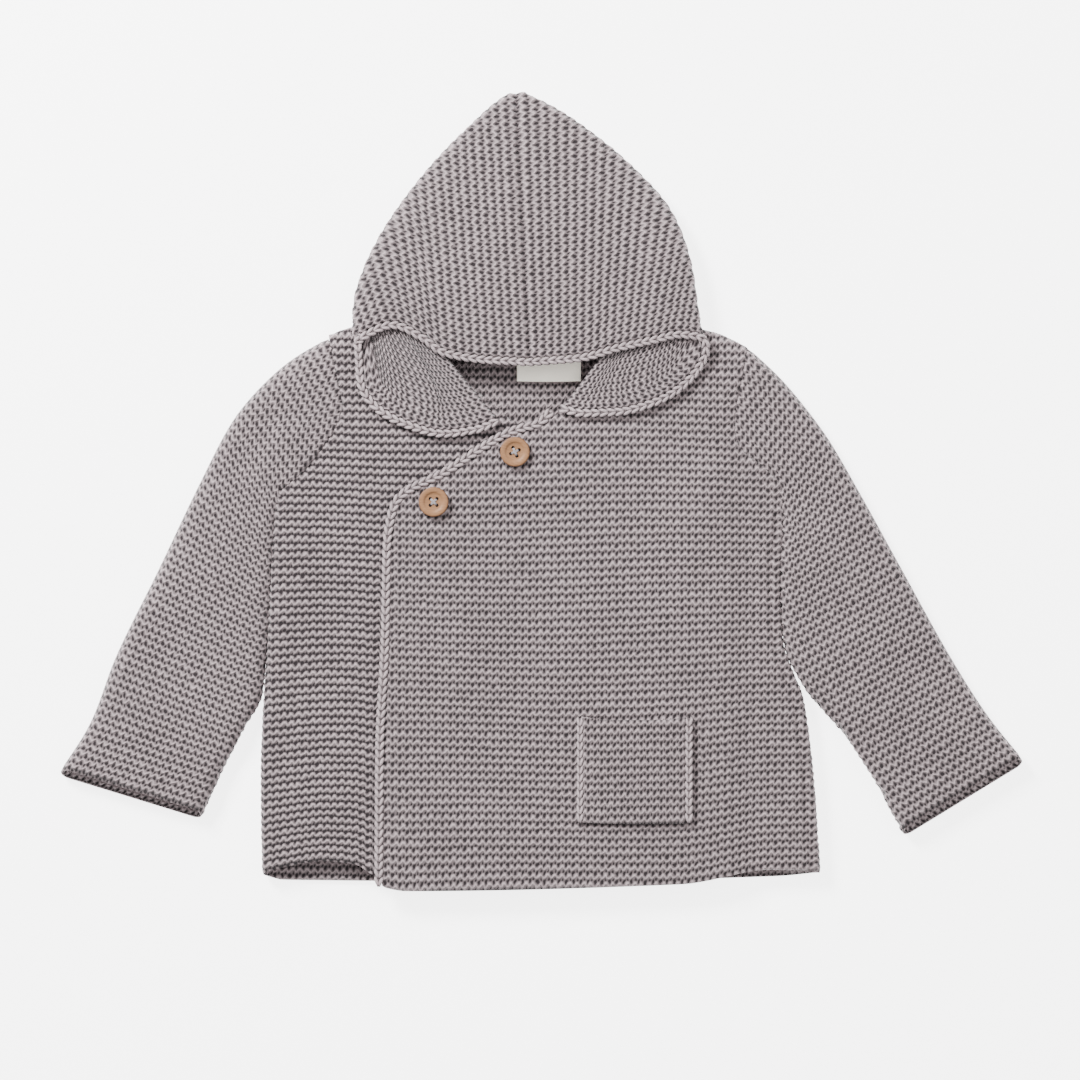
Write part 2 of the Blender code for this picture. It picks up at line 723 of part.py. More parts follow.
def button(name, place, turn, home, guides):
    """A wooden button: a turned disc with a dished face, drilled with four holes."""
    x, y = place
    base = float(over_height(np.array(x), np.array(y))) + WALL / 2 + GAP
    floor = BUTTON_HEIGHT - BUTTON_DISH_DEPTH
    profile = (
        (BUTTON_RADIUS - BUTTON_EDGE, BUTTON_HEIGHT),
        (BUTTON_RADIUS, BUTTON_HEIGHT - BUTTON_EDGE),
        (BUTTON_RADIUS, BUTTON_EDGE),
        (BUTTON_RADIUS - BUTTON_EDGE, 0.0),
    )
    dish = ((0.0, floor), (BUTTON_DISH_RADIUS - BUTTON_EDGE, floor))
    points = (*dish, (BUTTON_DISH_RADIUS, BUTTON_HEIGHT), *profile, (0.0, 0.0))
    mesh = bpy.data.meshes.new(name)
    corners = [(r * MM, 0.0, z * MM) for r, z in points]
    edges = [(i, i + 1) for i in range(len(points) - 1)]
    mesh.from_pydata(corners, edges, [])
    made = add_object(name, mesh, "wood", home)
    made.location = (x * MM, y * MM, base * MM)
    made.rotation_euler = (0.0, 0.0, turn)
    spin = made.modifiers.new("Turned", "SCREW")
    spin.axis = "Z"
    spin.steps = BUTTON_SEGMENTS
    spin.render_steps = BUTTON_SEGMENTS
    spin.use_merge_vertices = True
    spin.merge_threshold = JOIN * MM
    for i in range(4):
        angle = math.pi / 4 + i * math.pi / 2
        reach = BUTTON_HOLE_SPACING / math.sqrt(2) * MM
        drill_mesh = bpy.data.meshes.new(f"{name}_drill_{i}")
        shape = bmesh.new()
        bmesh.ops.create_cone(
            shape,
            cap_ends=True,
            segments=HOLE_SEGMENTS,
            radius1=BUTTON_HOLE_RADIUS * MM,
            radius2=BUTTON_HOLE_RADIUS * MM,
            depth=3 * BUTTON_HEIGHT * MM,
        )
        shape.to_mesh(drill_mesh)
        shape.free()
        drill = add_object(drill_mesh.name, drill_mesh, None, guides)
        drill.parent = made
        drill.location = (reach * math.cos(angle), reach * math.sin(angle), BUTTON_HEIGHT / 2 * MM)
        drill.hide_render = True
        drill.display_type = "WIRE"
        cut = made.modifiers.new(f"Hole {i + 1}", "BOOLEAN")
        cut.operation = "DIFFERENCE"
        cut.object = drill
    return made


def main():
    """Build the cardigan."""
    clear_scene()
    home = collection("baby_cardigan")
    guides = collection("cutters")
    right_front = front_grid(
        -1, RIGHT_FRONT_EDGE, GAP, RIGHT_FRONT_HEM, front_height, RIGHT_FRONT_ROWS, NECK_LEFT.y
    )
    left_front = front_grid(
        1, LEFT_FRONT_EDGE, TRIM_BAND, LEFT_FRONT_HEM, over_height, LEFT_FRONT_ROWS, NECK_RIGHT.y
    )
    sheet("back", back_grid(), WALL, "yarn", home)
    sheet("front_right", right_front, WALL, "yarn", home)
    sheet("front_left", left_front, WALL, "yarn", home)
    sheet("sleeve_right", sleeve_grid(-1, LEFT_SLEEVE), WALL, "yarn", home)
    sheet("sleeve_left", sleeve_grid(1, RIGHT_SLEEVE), WALL, "yarn", home)
    sheet("hood", hood_grid()[:, 1:], WALL, "yarn", home)
    sheet("pocket", pocket_grid(), WALL, "yarn", home)
    sheet("label", label_grid(), LABEL_WALL, "label", home)
    trim("front_edge_trim", wrap_line(), home)
    trim("hood_edge_trim", face_line(), home)
    for name, (place, turn) in BUTTONS.items():
        button(name, place, turn, home, guides)


main()
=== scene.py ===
"""Looks of a baby's hooded wrap cardigan in thick garter stitch, laid flat on its back.

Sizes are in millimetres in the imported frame: X runs across the garment, Y from the hem up to the
point of the hood and Z up from the surface. Each knitted piece is a lattice of stitches across and
ridges along, cut to the outline of its panel, given the relief of the stitches and closed into a
thin shell. The stitch pattern in the finishes is the same formula as the relief in the meshes.
"""

import logging
import math
from collections.abc import Callable, Sequence
from dataclasses import dataclass, field
from typing import Any, NamedTuple

import bpy
import numpy as np
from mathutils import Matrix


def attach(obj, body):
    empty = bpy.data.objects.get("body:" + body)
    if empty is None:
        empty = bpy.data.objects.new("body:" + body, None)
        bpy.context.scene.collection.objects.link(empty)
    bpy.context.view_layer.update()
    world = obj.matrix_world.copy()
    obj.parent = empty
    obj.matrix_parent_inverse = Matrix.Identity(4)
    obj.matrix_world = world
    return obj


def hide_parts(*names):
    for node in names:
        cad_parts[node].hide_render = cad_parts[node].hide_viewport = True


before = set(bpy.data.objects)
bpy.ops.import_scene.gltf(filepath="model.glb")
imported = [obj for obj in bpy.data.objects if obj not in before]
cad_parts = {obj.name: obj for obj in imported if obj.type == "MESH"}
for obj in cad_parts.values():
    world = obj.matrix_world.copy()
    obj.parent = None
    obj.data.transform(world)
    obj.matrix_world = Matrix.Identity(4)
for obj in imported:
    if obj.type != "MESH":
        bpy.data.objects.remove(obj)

LOG = logging.getLogger("cardigan")
MM = 0.001
ROOT = "root"
Grid = np.ndarray

# The yarn: one stitch across, one garter ridge along, and how finely a stitch is modelled.
STITCH = 3.9
RIDGE = 4.34
FINE = 4
STITCH_SWING = 0.22
SWING_START = math.pi / 2 + 0.3
CREST_WIDTH = 0.18
YARN_BASE = 0.55
PIT_LEAN = 0.18
# Groove depths between ridges. In the finishes a deeper groove is also painted darker: painted shade.
# The deeper one is used only in the right front's finish.
OPEN_GROOVE = 0.12
DEEP_SHADED_GROOVE = 0.36
GROOVE_WIDTH = 0.14
RELIEF = 0.85
YARN_LEVEL = 0.78

# The cloth: walls, folds and the heights of the middles of the layers.
WALL = 2.6
LEAST_WALL = 0.8
SINK_INSIDE = 0.3
GAP = 0.3
PILE = WALL + GAP
FOLD_RADIUS = 3.9
FOLD_POINTS = 400
EDGE = FOLD_RADIUS + WALL / 2
LOW_MID = WALL / 2
FOLD_MID = LOW_MID + FOLD_RADIUS
FRONT_MID = LOW_MID + 2 * FOLD_RADIUS
SHOULDER_MID = LOW_MID + PILE
SHOULDER_FALL = 22.0
SEAM_HALF = 0.2
LAP_CLEAR = 14.0
LAP_TURN = 16.0
UNDERARM = -10.0
ARM_TURN = 15.0
WIDEST = 130
REACH_STEP = 0.25


class Side(NamedTuple):
    """Both outlines of the body at one height."""

    y: float
    left: float
    right: float


class Place(NamedTuple):
    """A point of an outline."""

    x: float
    y: float


class Pit(NamedTuple):
    """A dark gap between yarns: its place in a stitch, its half sizes and its depth."""

    u: float
    v: float
    half_u: float
    half_v: float
    depth: float


class Fold(NamedTuple):
    """The outer and inner folds of a sleeve at one place along it."""

    outer_x: float
    outer_y: float
    inner_x: float
    inner_y: float


class Profile(NamedTuple):
    """The hood's side folds, its top and the height of its folds, at one height up the garment."""

    y: float
    left: float
    right: float
    top: float
    fold: float


# The gaps between the yarns of a stitch.
TALL_PIT = Pit(0.5, 0.93, 0.17, 0.33, 0.82)
LOW_PIT = Pit(0.03, 0.16, 0.14, 0.2, 0.55)

# The outlines of the body: its sides and armholes, its top, its hems and the edges of its fronts.
SIDES = (
    Side(-212.0, -151.3, 152.3), Side(-157.0, -152.3, 148.5), Side(-113.0, -150.7, 142.8),
    Side(-95.0, -149.6, 136.0), Side(-81.0, -148.8, 131.6), Side(-50.0, -147.2, 130.2),
    Side(-10.0, -145.3, 133.6),
)
ARMHOLES = (
    Side(-10.0, -145.3, 133.6), Side(-2.0, -143.6, 131.6), Side(5.0, -134.5, 128.6),
    Side(13.0, -126.4, 120.0), Side(24.0, -118.0, 107.5), Side(35.0, -110.7, 105.0),
    Side(46.0, -107.5, 105.9), Side(58.0, -109.6, 108.3), Side(80.0, -114.2, 112.6),
    Side(95.0, -117.2, 115.2),
)
SHOULDER_LEFT = -113.5
SHOULDER_RIGHT = 111.5
NECK_LEFT = Place(-69.7, 94.2)
NECK_RIGHT = Place(49.1, 93.2)
TOP = (
    Place(-118.0, 81.0), Place(-108.5, 86.7), NECK_LEFT, Place(-50.0, 81.0), Place(-8.0, 76.2),
    Place(30.0, 81.0), NECK_RIGHT, Place(92.9, 86.0), Place(114.0, 76.5),
)
BACK_HEM = (
    Place(-152, -207.5), Place(-140, -211), Place(0, -212), Place(128, -209), Place(153, -206.6),
)
RIGHT_HEM = (
    Place(-152, -207.0), Place(-138, -203.3), Place(-118, -200.2), Place(-100, -202.0),
    Place(-90, -207.5), Place(85, -208.5),
)
LEFT_HEM = (
    Place(-90, -213.0), Place(-72, -216.2), Place(75, -212.5), Place(124, -204.9),
    Place(153, -205.5),
)
LEFT_EDGE = (
    Place(-90.2, -217.0), Place(-89.6, -140.0), Place(-86.8, -80.0), Place(-85.8, -30.0),
    Place(-83.2, -12.0), Place(-79.0, -2.0), Place(-73.5, 2.2), Place(-52.4, 12.7),
    Place(-35.6, 24.0), Place(-17.0, 34.3), Place(0.0, 39.4), Place(13.0, 42.5), Place(35.6, 71.6),
    Place(49.1, 93.5),
)
RIGHT_EDGE = (
    Place(84.2, -209.0), Place(84.2, -30.0), Place(83.0, -12.0), Place(79.0, -2.0),
    Place(70.0, 2.2), Place(30.0, 18.0), Place(-11.3, 35.4), Place(-33.0, 53.0), Place(-54.5, 72.1),
    Place(-69.7, 94.5),
)

# The folds of the sleeves, from the shoulder to the cuff.
SLEEVE_AT_LEFT = (
    Fold(-115.6, 82.9, -143.5, -2.0), Fold(-136.1, 70.5, -146.6, -28.0),
    Fold(-153.9, 54.3, -147.7, -50.0), Fold(-166.9, 38.1, -149.0, -72.0),
    Fold(-184.1, 5.7, -151.0, -95.0), Fold(-207.4, -42.9, -152.6, -110.0),
    Fold(-231.1, -91.5, -163.0, -130.0), Fold(-243.5, -123.9, -174.5, -152.0),
    Fold(-260.2, -150.0, -184.7, -174.0),
)
SLEEVE_AT_RIGHT = (
    Fold(112.6, 77.5, 131.6, -2.0), Fold(130.0, 61.0, 133.0, -26.0),
    Fold(142.6, 46.2, 131.6, -46.0), Fold(155.6, 28.5, 132.2, -64.0),
    Fold(172.0, 0.5, 134.6, -84.0), Fold(196.0, -43.0, 146.6, -108.5),
    Fold(223.0, -91.5, 165.0, -130.0), Fold(241.5, -120.5, 182.0, -155.0),
    Fold(260.2, -143.6, 197.6, -184.0),
)

# The hood: its outline and height, the two halves of its face edge, and how it falls and rolls.
HOOD_PROFILE = (
    Profile(73.0, -100.6, 91.3, 15.5, 12.4), Profile(90.0, -102.6, 87.0, 16.0, 10.5),
    Profile(103.0, -101.5, 84.9, 16.2, 8.8), Profile(119.0, -96.7, 82.6, 16.0, 8.0),
    Profile(135.0, -89.1, 78.3, 15.2, 7.4), Profile(151.5, -78.8, 70.7, 14.0, 6.8),
    Profile(175.8, -59.9, 49.1, 11.6, 5.6), Profile(200.0, -36.2, 18.9, 8.6, 4.4),
    Profile(211.0, -23.5, 0.0, 6.8, 3.9), Profile(216.0, -14.0, -13.0, 5.6, 3.6),
)
LEFT_FACE = (
    Place(-6.0, 67.0), Place(-30.2, 68.3), Place(-52.4, 72.1), Place(-66.0, 81.0),
    Place(-80.0, 87.0), Place(-91.5, 82.8), Place(-100.2, 74.4), Place(-99.2, 58.0),
    Place(-92.5, 45.6), Place(-76.1, 34.8), Place(-52.4, 28.6), Place(-34.0, 31.0),
    Place(-21.5, 36.2),
)
RIGHT_FACE = (
    Place(-6.0, 67.0), Place(22.1, 69.4), Place(42.1, 74.8), Place(61.6, 79.1), Place(74.5, 81.8),
    Place(84.5, 80.6), Place(90.8, 74.4), Place(85.3, 63.0), Place(74.5, 52.4), Place(60.5, 45.1),
    Place(42.1, 40.4), Place(22.1, 39.6), Place(9.5, 42.4),
)
HOOD_MIDDLE = -8.0
PEAK = (-13.5, 215.6)
HOOD_FLATNESS = 5.0
FOLD_INSET = 1.6
HOOD_FALL = 15.0
HOOD_CLEAR = 0.8
RIB_POINTS = 90
OUTLINE_POINTS = 120
NECK_FLAT = 26.0
BACK_NECK = 76.2
NECK_LAP = 1.0
NECK_DROP = 1.2
LOBE_BLEND = (60.0, 15.0)
LEAST_SLANT = 0.4
LOBE_REACH = 9.0
ROLL_END = 98.0
ROLL_LEAN = 0.5
ROLL_IN = 3.0

# The bands: the length of a link, and where they lie along the edges.
LINK = 4.3
BRAID_HALF = 2.0
BRAID_BAND = 4.1
WRAP_START = -214.8
WRAP_END = 40.0


# Curves and steps.


def smooth_curve(at: Grid, places: Sequence[float], values: Sequence[float]) -> Grid:
    """Values at some places on a smooth curve through a table's points, with no overshoot.

    Args:
        at: Places to read the curve at.
        places: The places of the table, rising.
        values: The values of the table.

    Returns:
        The values, held at the ends of the table.
    """
    places = np.asarray(places, float)
    values = np.asarray(values, float)
    steps = np.diff(places)
    slopes = np.diff(values) / steps
    tangents = np.zeros(len(places))
    rising = slopes[:-1] * slopes[1:] > 0
    both = np.where(rising, slopes[:-1] + slopes[1:], 1.0)
    tangents[1:-1] = np.where(rising, 2 * slopes[:-1] * slopes[1:] / both, 0.0)
    tangents[0] = slopes[0]
    tangents[-1] = slopes[-1]
    at = np.clip(at, places[0], places[-1])
    i = np.clip(np.searchsorted(places, at) - 1, 0, len(steps) - 1)
    t = (at - places[i]) / steps[i]
    ends = values[i] * (1 + 2 * t) * (1 - t) ** 2 + values[i + 1] * t * t * (3 - 2 * t)
    bends = tangents[i] * t * (1 - t) ** 2 + tangents[i + 1] * t * t * (t - 1)
    return ends + steps[i] * bends


def along(rows: Sequence[NamedTuple], key: str, name: str, at: Grid) -> Grid:
    """A table's column, read at places along its key column."""
    return smooth_curve(at, [getattr(r, key) for r in rows], [getattr(r, name) for r in rows])


def ease(t: Grid) -> Grid:
    """A smooth step from 0 to 1."""
    t = np.clip(t, 0.0, 1.0)
    return t * t * (3 - 2 * t)


def dome(t: Grid) -> Grid:
    """A quarter of a circle, from 0 up to 1."""
    t = np.clip(t, 0.0, 1.0)
    return np.sqrt(1 - (1 - t) ** 2)


def mix(a: Grid, b: Grid, t: Grid) -> Grid:
    """The value a share t of the way from a to b."""
    return a + (b - a) * t


def lengths(points: Grid) -> Grid:
    """The distance along a line of points, at each point."""
    return np.concatenate([[0], np.cumsum(np.linalg.norm(np.diff(points, axis=0), axis=1))])


def through(points: Sequence[Sequence[float]], count: int) -> Grid:
    """Points evenly along a smooth curve through a table's points.

    Args:
        points: The points of the table.
        count: How many points are wanted.

    Returns:
        The points, evenly spaced.
    """
    points = np.asarray(points, float)
    chord = lengths(points)
    fine = np.linspace(0, chord[-1], 12 * len(points))
    curve = np.stack([smooth_curve(fine, chord, p) for p in points.T], axis=1)
    run = lengths(curve)
    even = np.linspace(0, run[-1], count)
    return np.stack([np.interp(even, run, p) for p in curve.T], axis=1)


def read(points: Grid, keys: Grid, at: Grid) -> Grid:
    """Points interpolated at values of their key."""
    return np.stack([np.interp(at, keys, p) for p in points.T], axis=-1)


# Shader maths.


@dataclass
class Field:
    """A socket's value, as an expression that adds its Math nodes."""

    tree: bpy.types.NodeTree
    socket: bpy.types.NodeSocket

    def math(self, operation: str, *others: Any, clamp: bool = False) -> "Field":
        """The result of a Math node on this value and others.

        Args:
            operation: The node's operation.
            others: Its other values, numbers or expressions.
            clamp: Whether the result is held between 0 and 1.

        Returns:
            The result.
        """
        node = self.tree.nodes.new("ShaderNodeMath")
        node.operation = operation
        node.use_clamp = clamp
        for slot, value in zip(node.inputs, (self, *others)):
            if isinstance(value, Field):
                self.tree.links.new(value.socket, slot)
            else:
                slot.default_value = value
        return Field(self.tree, node.outputs[0])

    def __add__(self, other: Any) -> "Field":
        """The sum."""
        return self.math("ADD", other)

    __radd__ = __add__

    def __mul__(self, other: Any) -> "Field":
        """The product."""
        return self.math("MULTIPLY", other)

    __rmul__ = __mul__

    def __sub__(self, other: Any) -> "Field":
        """The difference."""
        return self.math("SUBTRACT", other)

    def __rsub__(self, other: float) -> "Field":
        """The difference from a number."""
        return (self * -1.0) + other

    def __truediv__(self, other: Any) -> "Field":
        """The quotient."""
        return self.math("DIVIDE", other)


def sine(x: Any) -> Any:
    """The sine of a number, an array or a shader value."""
    return x.math("SINE") if isinstance(x, Field) else np.sin(x)


def fraction(x: Any) -> Any:
    """The part of a value past its whole number."""
    return x.math("FRACT") if isinstance(x, Field) else x - np.floor(x)


def positive(x: Any) -> Any:
    """A value held at 0 or more."""
    return x.math("MAXIMUM", 0.0) if isinstance(x, Field) else np.maximum(x, 0.0)


def root(x: Any) -> Any:
    """The square root of a value."""
    return x.math("SQRT") if isinstance(x, Field) else np.sqrt(x)


def bell(x: Any) -> Any:
    """A smooth bump of height 1 about 0, of a number, array or shader value."""
    return (x * x * -1.0).math("EXPONENT") if isinstance(x, Field) else np.exp(-x * x)


def wrapped(x: Any) -> Any:
    """How far a value is from its nearest whole number."""
    return fraction(x + 0.5) - 0.5


def garter(u: Any, v: Any, groove: float = OPEN_GROOVE) -> Any:
    """The height of garter stitch, from 0 in its pits up to 1 on its ridges.

    The yarn of a ridge swings up and down once in each stitch. A tall slanting pit opens above
    each low swing and a smaller one below each high swing, with a groove between the ridges.

    Args:
        u: Stitches across.
        v: Ridges along.
        groove: The depth of the groove, which is greater where the knitting is pressed together. In
            the finishes a deeper groove is also painted darker, as painted shade.

    Returns:
        The height, as an array or a shader value.
    """
    swing = sine(u * (2 * math.pi) + SWING_START) * STITCH_SWING
    crest = bell(wrapped(v - 0.5 - swing) / CREST_WIDTH)
    up = wrapped(v - TALL_PIT.v)
    tall = bell(wrapped(u - TALL_PIT.u - up * PIT_LEAN) / TALL_PIT.half_u) * bell(up / TALL_PIT.half_v)
    up = wrapped(v - LOW_PIT.v)
    low = bell(wrapped(u - LOW_PIT.u - up * PIT_LEAN) / LOW_PIT.half_u) * bell(up / LOW_PIT.half_v)
    line = bell(wrapped(v - swing * 0.25) / GROOVE_WIDTH)
    height = crest * (1 - YARN_BASE) + YARN_BASE - tall * TALL_PIT.depth - low * LOW_PIT.depth
    return positive(height - line * groove)


# Outlines and heights of the body.


def side_outline(y: Grid, side: int) -> Grid:
    """The outline of the body on one side: its side, and the armhole above the underarm."""
    name = "left" if side < 0 else "right"
    return np.where(y < UNDERARM, along(SIDES, "y", name, y), along(ARMHOLES, "y", name, y))


def shoulder_line(x: Grid) -> Grid:
    """How far up the shoulder seams reach, with the necks' height held between them.

    Args:
        x: Places across the garment.

    Returns:
        The heights up the garment.
    """
    between = (x > NECK_LEFT.x) & (x < NECK_RIGHT.x)
    neck = mix(NECK_LEFT.y, NECK_RIGHT.y, (x - NECK_LEFT.x) / (NECK_RIGHT.x - NECK_LEFT.x))
    return np.where(between, neck, along(TOP, "x", "y", x))


def front_height(x: Grid, y: Grid) -> Grid:
    """The middle of a front that lies straight over the back."""
    return mix(SHOULDER_MID, FRONT_MID, dome((shoulder_line(x) - y) / SHOULDER_FALL))


def lap_lift(x: Grid, y: Grid) -> Grid:
    """How far the left front is raised by the right front under it.

    Args:
        x: Places across the garment.
        y: Places up the garment.

    Returns:
        The rise, in full over the right front and falling to nothing past its edge.
    """
    rows = np.linspace(RIGHT_EDGE[0].y, RIGHT_EDGE[-1].y, 60)
    edge = np.stack([along(RIGHT_EDGE, "y", "x", rows), rows], axis=1)
    away = np.full(np.shape(x), np.inf)
    for point in edge:
        away = np.minimum(away, np.hypot(x - point[0], y - point[1]))
    outside = x > along(RIGHT_EDGE, "y", "x", y)
    return PILE * (1 - ease((np.where(outside, away, 0.0) - LAP_CLEAR) / LAP_TURN))


def over_height(x: Grid, y: Grid) -> Grid:
    """The middle of the left front, over the right front or straight over the back."""
    return front_height(x, y) + lap_lift(x, y)


def back_height(x: Grid, y: Grid) -> Grid:
    """The middle of the back."""
    return np.full(np.shape(x), LOW_MID)


# Knitted sheets.


def inside(points: Grid, outline: Grid) -> Grid:
    """Which points lie inside an outline.

    Args:
        points: Points, in an array of any shape with pairs last.
        outline: The corners of the outline in order.

    Returns:
        True for each point inside.
    """
    x, y = points[..., 0], points[..., 1]
    result = np.zeros(x.shape, bool)
    for (ax, ay), (bx, by) in zip(outline, np.roll(outline, -1, axis=0)):
        if ay != by:
            crosses = (ay > y) != (by > y)
            result ^= crosses & (x < (bx - ax) * (y - ay) / (by - ay) + ax)
    return result


def nearest(points: Grid, outline: Grid) -> Grid:
    """The nearest places on an outline to some points.

    Args:
        points: Some points.
        outline: The corners of the outline in order.

    Returns:
        A place on the outline for each point.
    """
    best = np.full(len(points), np.inf)
    found = points.copy()
    for a, b in zip(outline, np.roll(outline, -1, axis=0)):
        run = b - a
        size = max(float(run @ run), 1e-9)
        t = np.clip((points - a) @ run / size, 0, 1)
        place = a + t[:, None] * run
        away = np.linalg.norm(points - place, axis=1)
        closer = away < best
        best[closer] = away[closer]
        found[closer] = place[closer]
    return found


def spread(mask: Grid) -> Grid:
    """A mask of nodes with their eight neighbours.

    Args:
        mask: True for each chosen node.

    Returns:
        True for those and for the nodes round them.
    """
    padded = np.pad(mask, 1)
    rows, columns = mask.shape
    result = np.zeros_like(mask)
    for j in range(3):
        for i in range(3):
            result |= padded[j : j + rows, i : i + columns]
    return result


def whole_stitches(mask: Grid) -> Grid:
    """A mask of small quads, taken apart into whole stitches: their quads are on axes 1 and 3."""
    return mask.reshape(mask.shape[0] // FINE, FINE, mask.shape[1] // FINE, FINE)


@dataclass
class KnitSheet:
    """A piece of knitting: a lattice of stitches made into a closed thin shell.

    Attributes:
        name: The piece's name.
        middle: The middle of the wall at each node, rows by columns by three.
        kept: Which of the lattice's small quads belong to the piece.
        stitches: Stitches across and ridges along at each node.
        up: 1 where rows times columns turn to the outer face, or -1.
        wall: The thickness of the wall.
        relief: The depth of the stitches.
        groove: How far the outer face sinks along seams, at each node.
        shown: Which whole stitches show on the inner face too, so that they are modelled there.
        thin: The share of the wall that is left at the edge and at the next two rings of nodes.
        area: The area of the sheet once it is built, in square metres.
    """

    name: str
    middle: Grid
    kept: Grid
    stitches: Grid
    up: int = 1
    wall: float = WALL
    relief: float = RELIEF
    groove: Grid | None = None
    shown: Grid | None = None
    thin: tuple[float, ...] = (0.3, 0.8, 0.97)
    area: float = field(init=False, default=0.0)

    def rings(self) -> Grid:
        """How many nodes each node lies from the edge of the piece, up to three.

        Returns:
            The count at each node, 0 on the edge.
        """
        rows, columns = self.middle.shape[:2]
        count = np.zeros((rows, columns), int)
        for j in (0, 1):
            for i in (0, 1):
                count[j : rows - 1 + j, i : columns - 1 + i] += self.kept
        used = count > 0
        reached = used & (count < 4)
        ring = np.full((rows, columns), 3)
        ring[reached] = 0
        for step in (1, 2):
            wider = spread(reached) & used
            ring[wider & ~reached] = step
            reached = wider
        return ring

    def normals(self) -> Grid:
        """The direction out of the outer face at each node.

        Returns:
            Unit vectors.
        """
        across = np.gradient(self.middle, axis=1)
        down = np.gradient(self.middle, axis=0)
        normal = np.cross(across, down) * self.up
        size = np.linalg.norm(normal, axis=2, keepdims=True)
        return normal / np.maximum(size, 1e-9)

    def plain_stitches(self) -> Grid:
        """Which whole stitches of the hidden inner face are left as one plain polygon."""
        full = whole_stitches(self.kept).all(axis=(1, 3))
        return full if self.shown is None else full & ~self.shown

    def face_list(self, coarse: Grid, offset: int, flip: bool) -> list[tuple[int, ...]]:
        """The polygons of one face.

        Args:
            coarse: Which whole stitches are one polygon.
            offset: What is added to each node's number.
            flip: Whether the polygons run the other way round.

        Returns:
            Corner numbers of each polygon.
        """
        rows, columns = self.kept.shape
        wide = columns + 1
        fine = self.kept & ~np.repeat(np.repeat(coarse, FINE, axis=0), FINE, axis=1)
        j, i = np.nonzero(fine)
        a = j * wide + i + offset
        quads = np.stack([a, a + 1, a + wide + 1, a + wide], axis=1)
        if flip:
            quads = quads[:, ::-1]
        found = [tuple(q) for q in quads.tolist()]
        padded = np.pad(coarse, 1)
        for cell_j, cell_i in zip(*np.nonzero(coarse)):
            low_j, low_i = cell_j * FINE, cell_i * FINE
            beside = (
                padded[cell_j, cell_i + 1],
                padded[cell_j + 1, cell_i + 2],
                padded[cell_j + 2, cell_i + 1],
                padded[cell_j + 1, cell_i],
            )
            starts = ((0, 0), (0, FINE), (FINE, FINE), (FINE, 0))
            ways = ((0, 1), (1, 0), (0, -1), (-1, 0))
            corners: list[int] = []
            for (start_j, start_i), (way_j, way_i), plain in zip(starts, ways, beside):
                for step in range(1 if plain else FINE):
                    node_j = low_j + start_j + way_j * step
                    node_i = low_i + start_i + way_i * step
                    corners.append(int(node_j * wide + node_i + offset))
            found.append(tuple(corners[::-1] if flip else corners))
        return found

    def rim_list(self, offset: int) -> list[tuple[int, ...]]:
        """The polygons that close the edge between the two faces.

        Args:
            offset: What is added to a node's number for the inner face.

        Returns:
            Corner numbers of each polygon.
        """
        rows, columns = self.kept.shape
        wide = columns + 1
        padded = np.pad(self.kept, 1)
        found = []
        above, below = padded[1:, 1:-1], padded[:-1, 1:-1]
        for j, i in zip(*np.nonzero(above & ~below)):
            a = int(j * wide + i)
            found.append((a + 1, a, a + offset, a + 1 + offset))
        for j, i in zip(*np.nonzero(below & ~above)):
            a = int(j * wide + i)
            found.append((a, a + 1, a + 1 + offset, a + offset))
        right, left = padded[1:-1, 1:], padded[1:-1, :-1]
        for j, i in zip(*np.nonzero(right & ~left)):
            a = int(j * wide + i)
            found.append((a, a + wide, a + wide + offset, a + offset))
        for j, i in zip(*np.nonzero(left & ~right)):
            a = int(j * wide + i)
            found.append((a + wide, a, a + offset, a + wide + offset))
        return found

    def build(self) -> bpy.types.Object:
        """Make the shell.

        Returns:
            The new object.
        """
        normal = self.normals()
        ring = self.rings()
        share = np.choose(ring, (*self.thin, 1.0))[..., None]
        height = garter(self.stitches[..., 0], self.stitches[..., 1])
        carve = ((height - YARN_LEVEL) * self.relief * share[..., 0])[..., None]
        sink = 0.0 if self.groove is None else self.groove[..., None]
        half = self.wall / 2 * share
        out = half + carve - sink
        outer = self.middle + normal * out
        back = np.maximum(half + carve - SINK_INSIDE * sink, LEAST_WALL * share - out)
        inner = self.middle - normal * back
        plain = self.plain_stitches()
        count = ring.size
        flip = self.up < 0
        faces = self.face_list(np.zeros_like(plain), 0, flip)
        faces += self.face_list(plain, count, not flip)
        rim = self.rim_list(count)
        faces += [r[::-1] for r in rim] if flip else rim
        points = np.concatenate([outer.reshape(-1, 3), inner.reshape(-1, 3)]) * MM
        stitches = np.tile(self.stitches.reshape(-1, 2), (2, 1))
        across, down = np.gradient(self.middle, axis=1), np.gradient(self.middle, axis=0)
        quads = np.linalg.norm(np.cross(across, down), axis=2)[:-1, :-1]
        self.area = float(quads[self.kept].sum()) * MM * MM
        return mesh_object(self.name, points, faces, stitches)


def mesh_object(
    name: str, points: Grid, faces: list[tuple[int, ...]], stitches: Grid | None = None
) -> bpy.types.Object:
    """A smooth-shaded object from points and polygons, with only the points that are used.

    Args:
        name: The object's name.
        points: Points in metres.
        faces: Corner numbers of each polygon.
        stitches: Stitches across and ridges along at each point, for the UV map.

    Returns:
        The new object.
    """
    used = np.unique(np.fromiter((c for f in faces for c in f), int))
    new = np.full(len(points), -1)
    new[used] = np.arange(len(used))
    renumbered = [[int(new[c]) for c in f] for f in faces]
    mesh = bpy.data.meshes.new(name)
    mesh.from_pydata(points[used].tolist(), [], renumbered)
    mesh.shade_smooth()
    if stitches is not None:
        corners = np.zeros(len(mesh.loops), int)
        mesh.loops.foreach_get("vertex_index", corners)
        layer = mesh.uv_layers.new(name="Stitches")
        layer.uv.foreach_set("vector", stitches[used][corners].astype(np.float32).ravel())
    mesh.update()
    made = bpy.data.objects.new(name, mesh)
    bpy.context.scene.collection.objects.link(made)
    return made


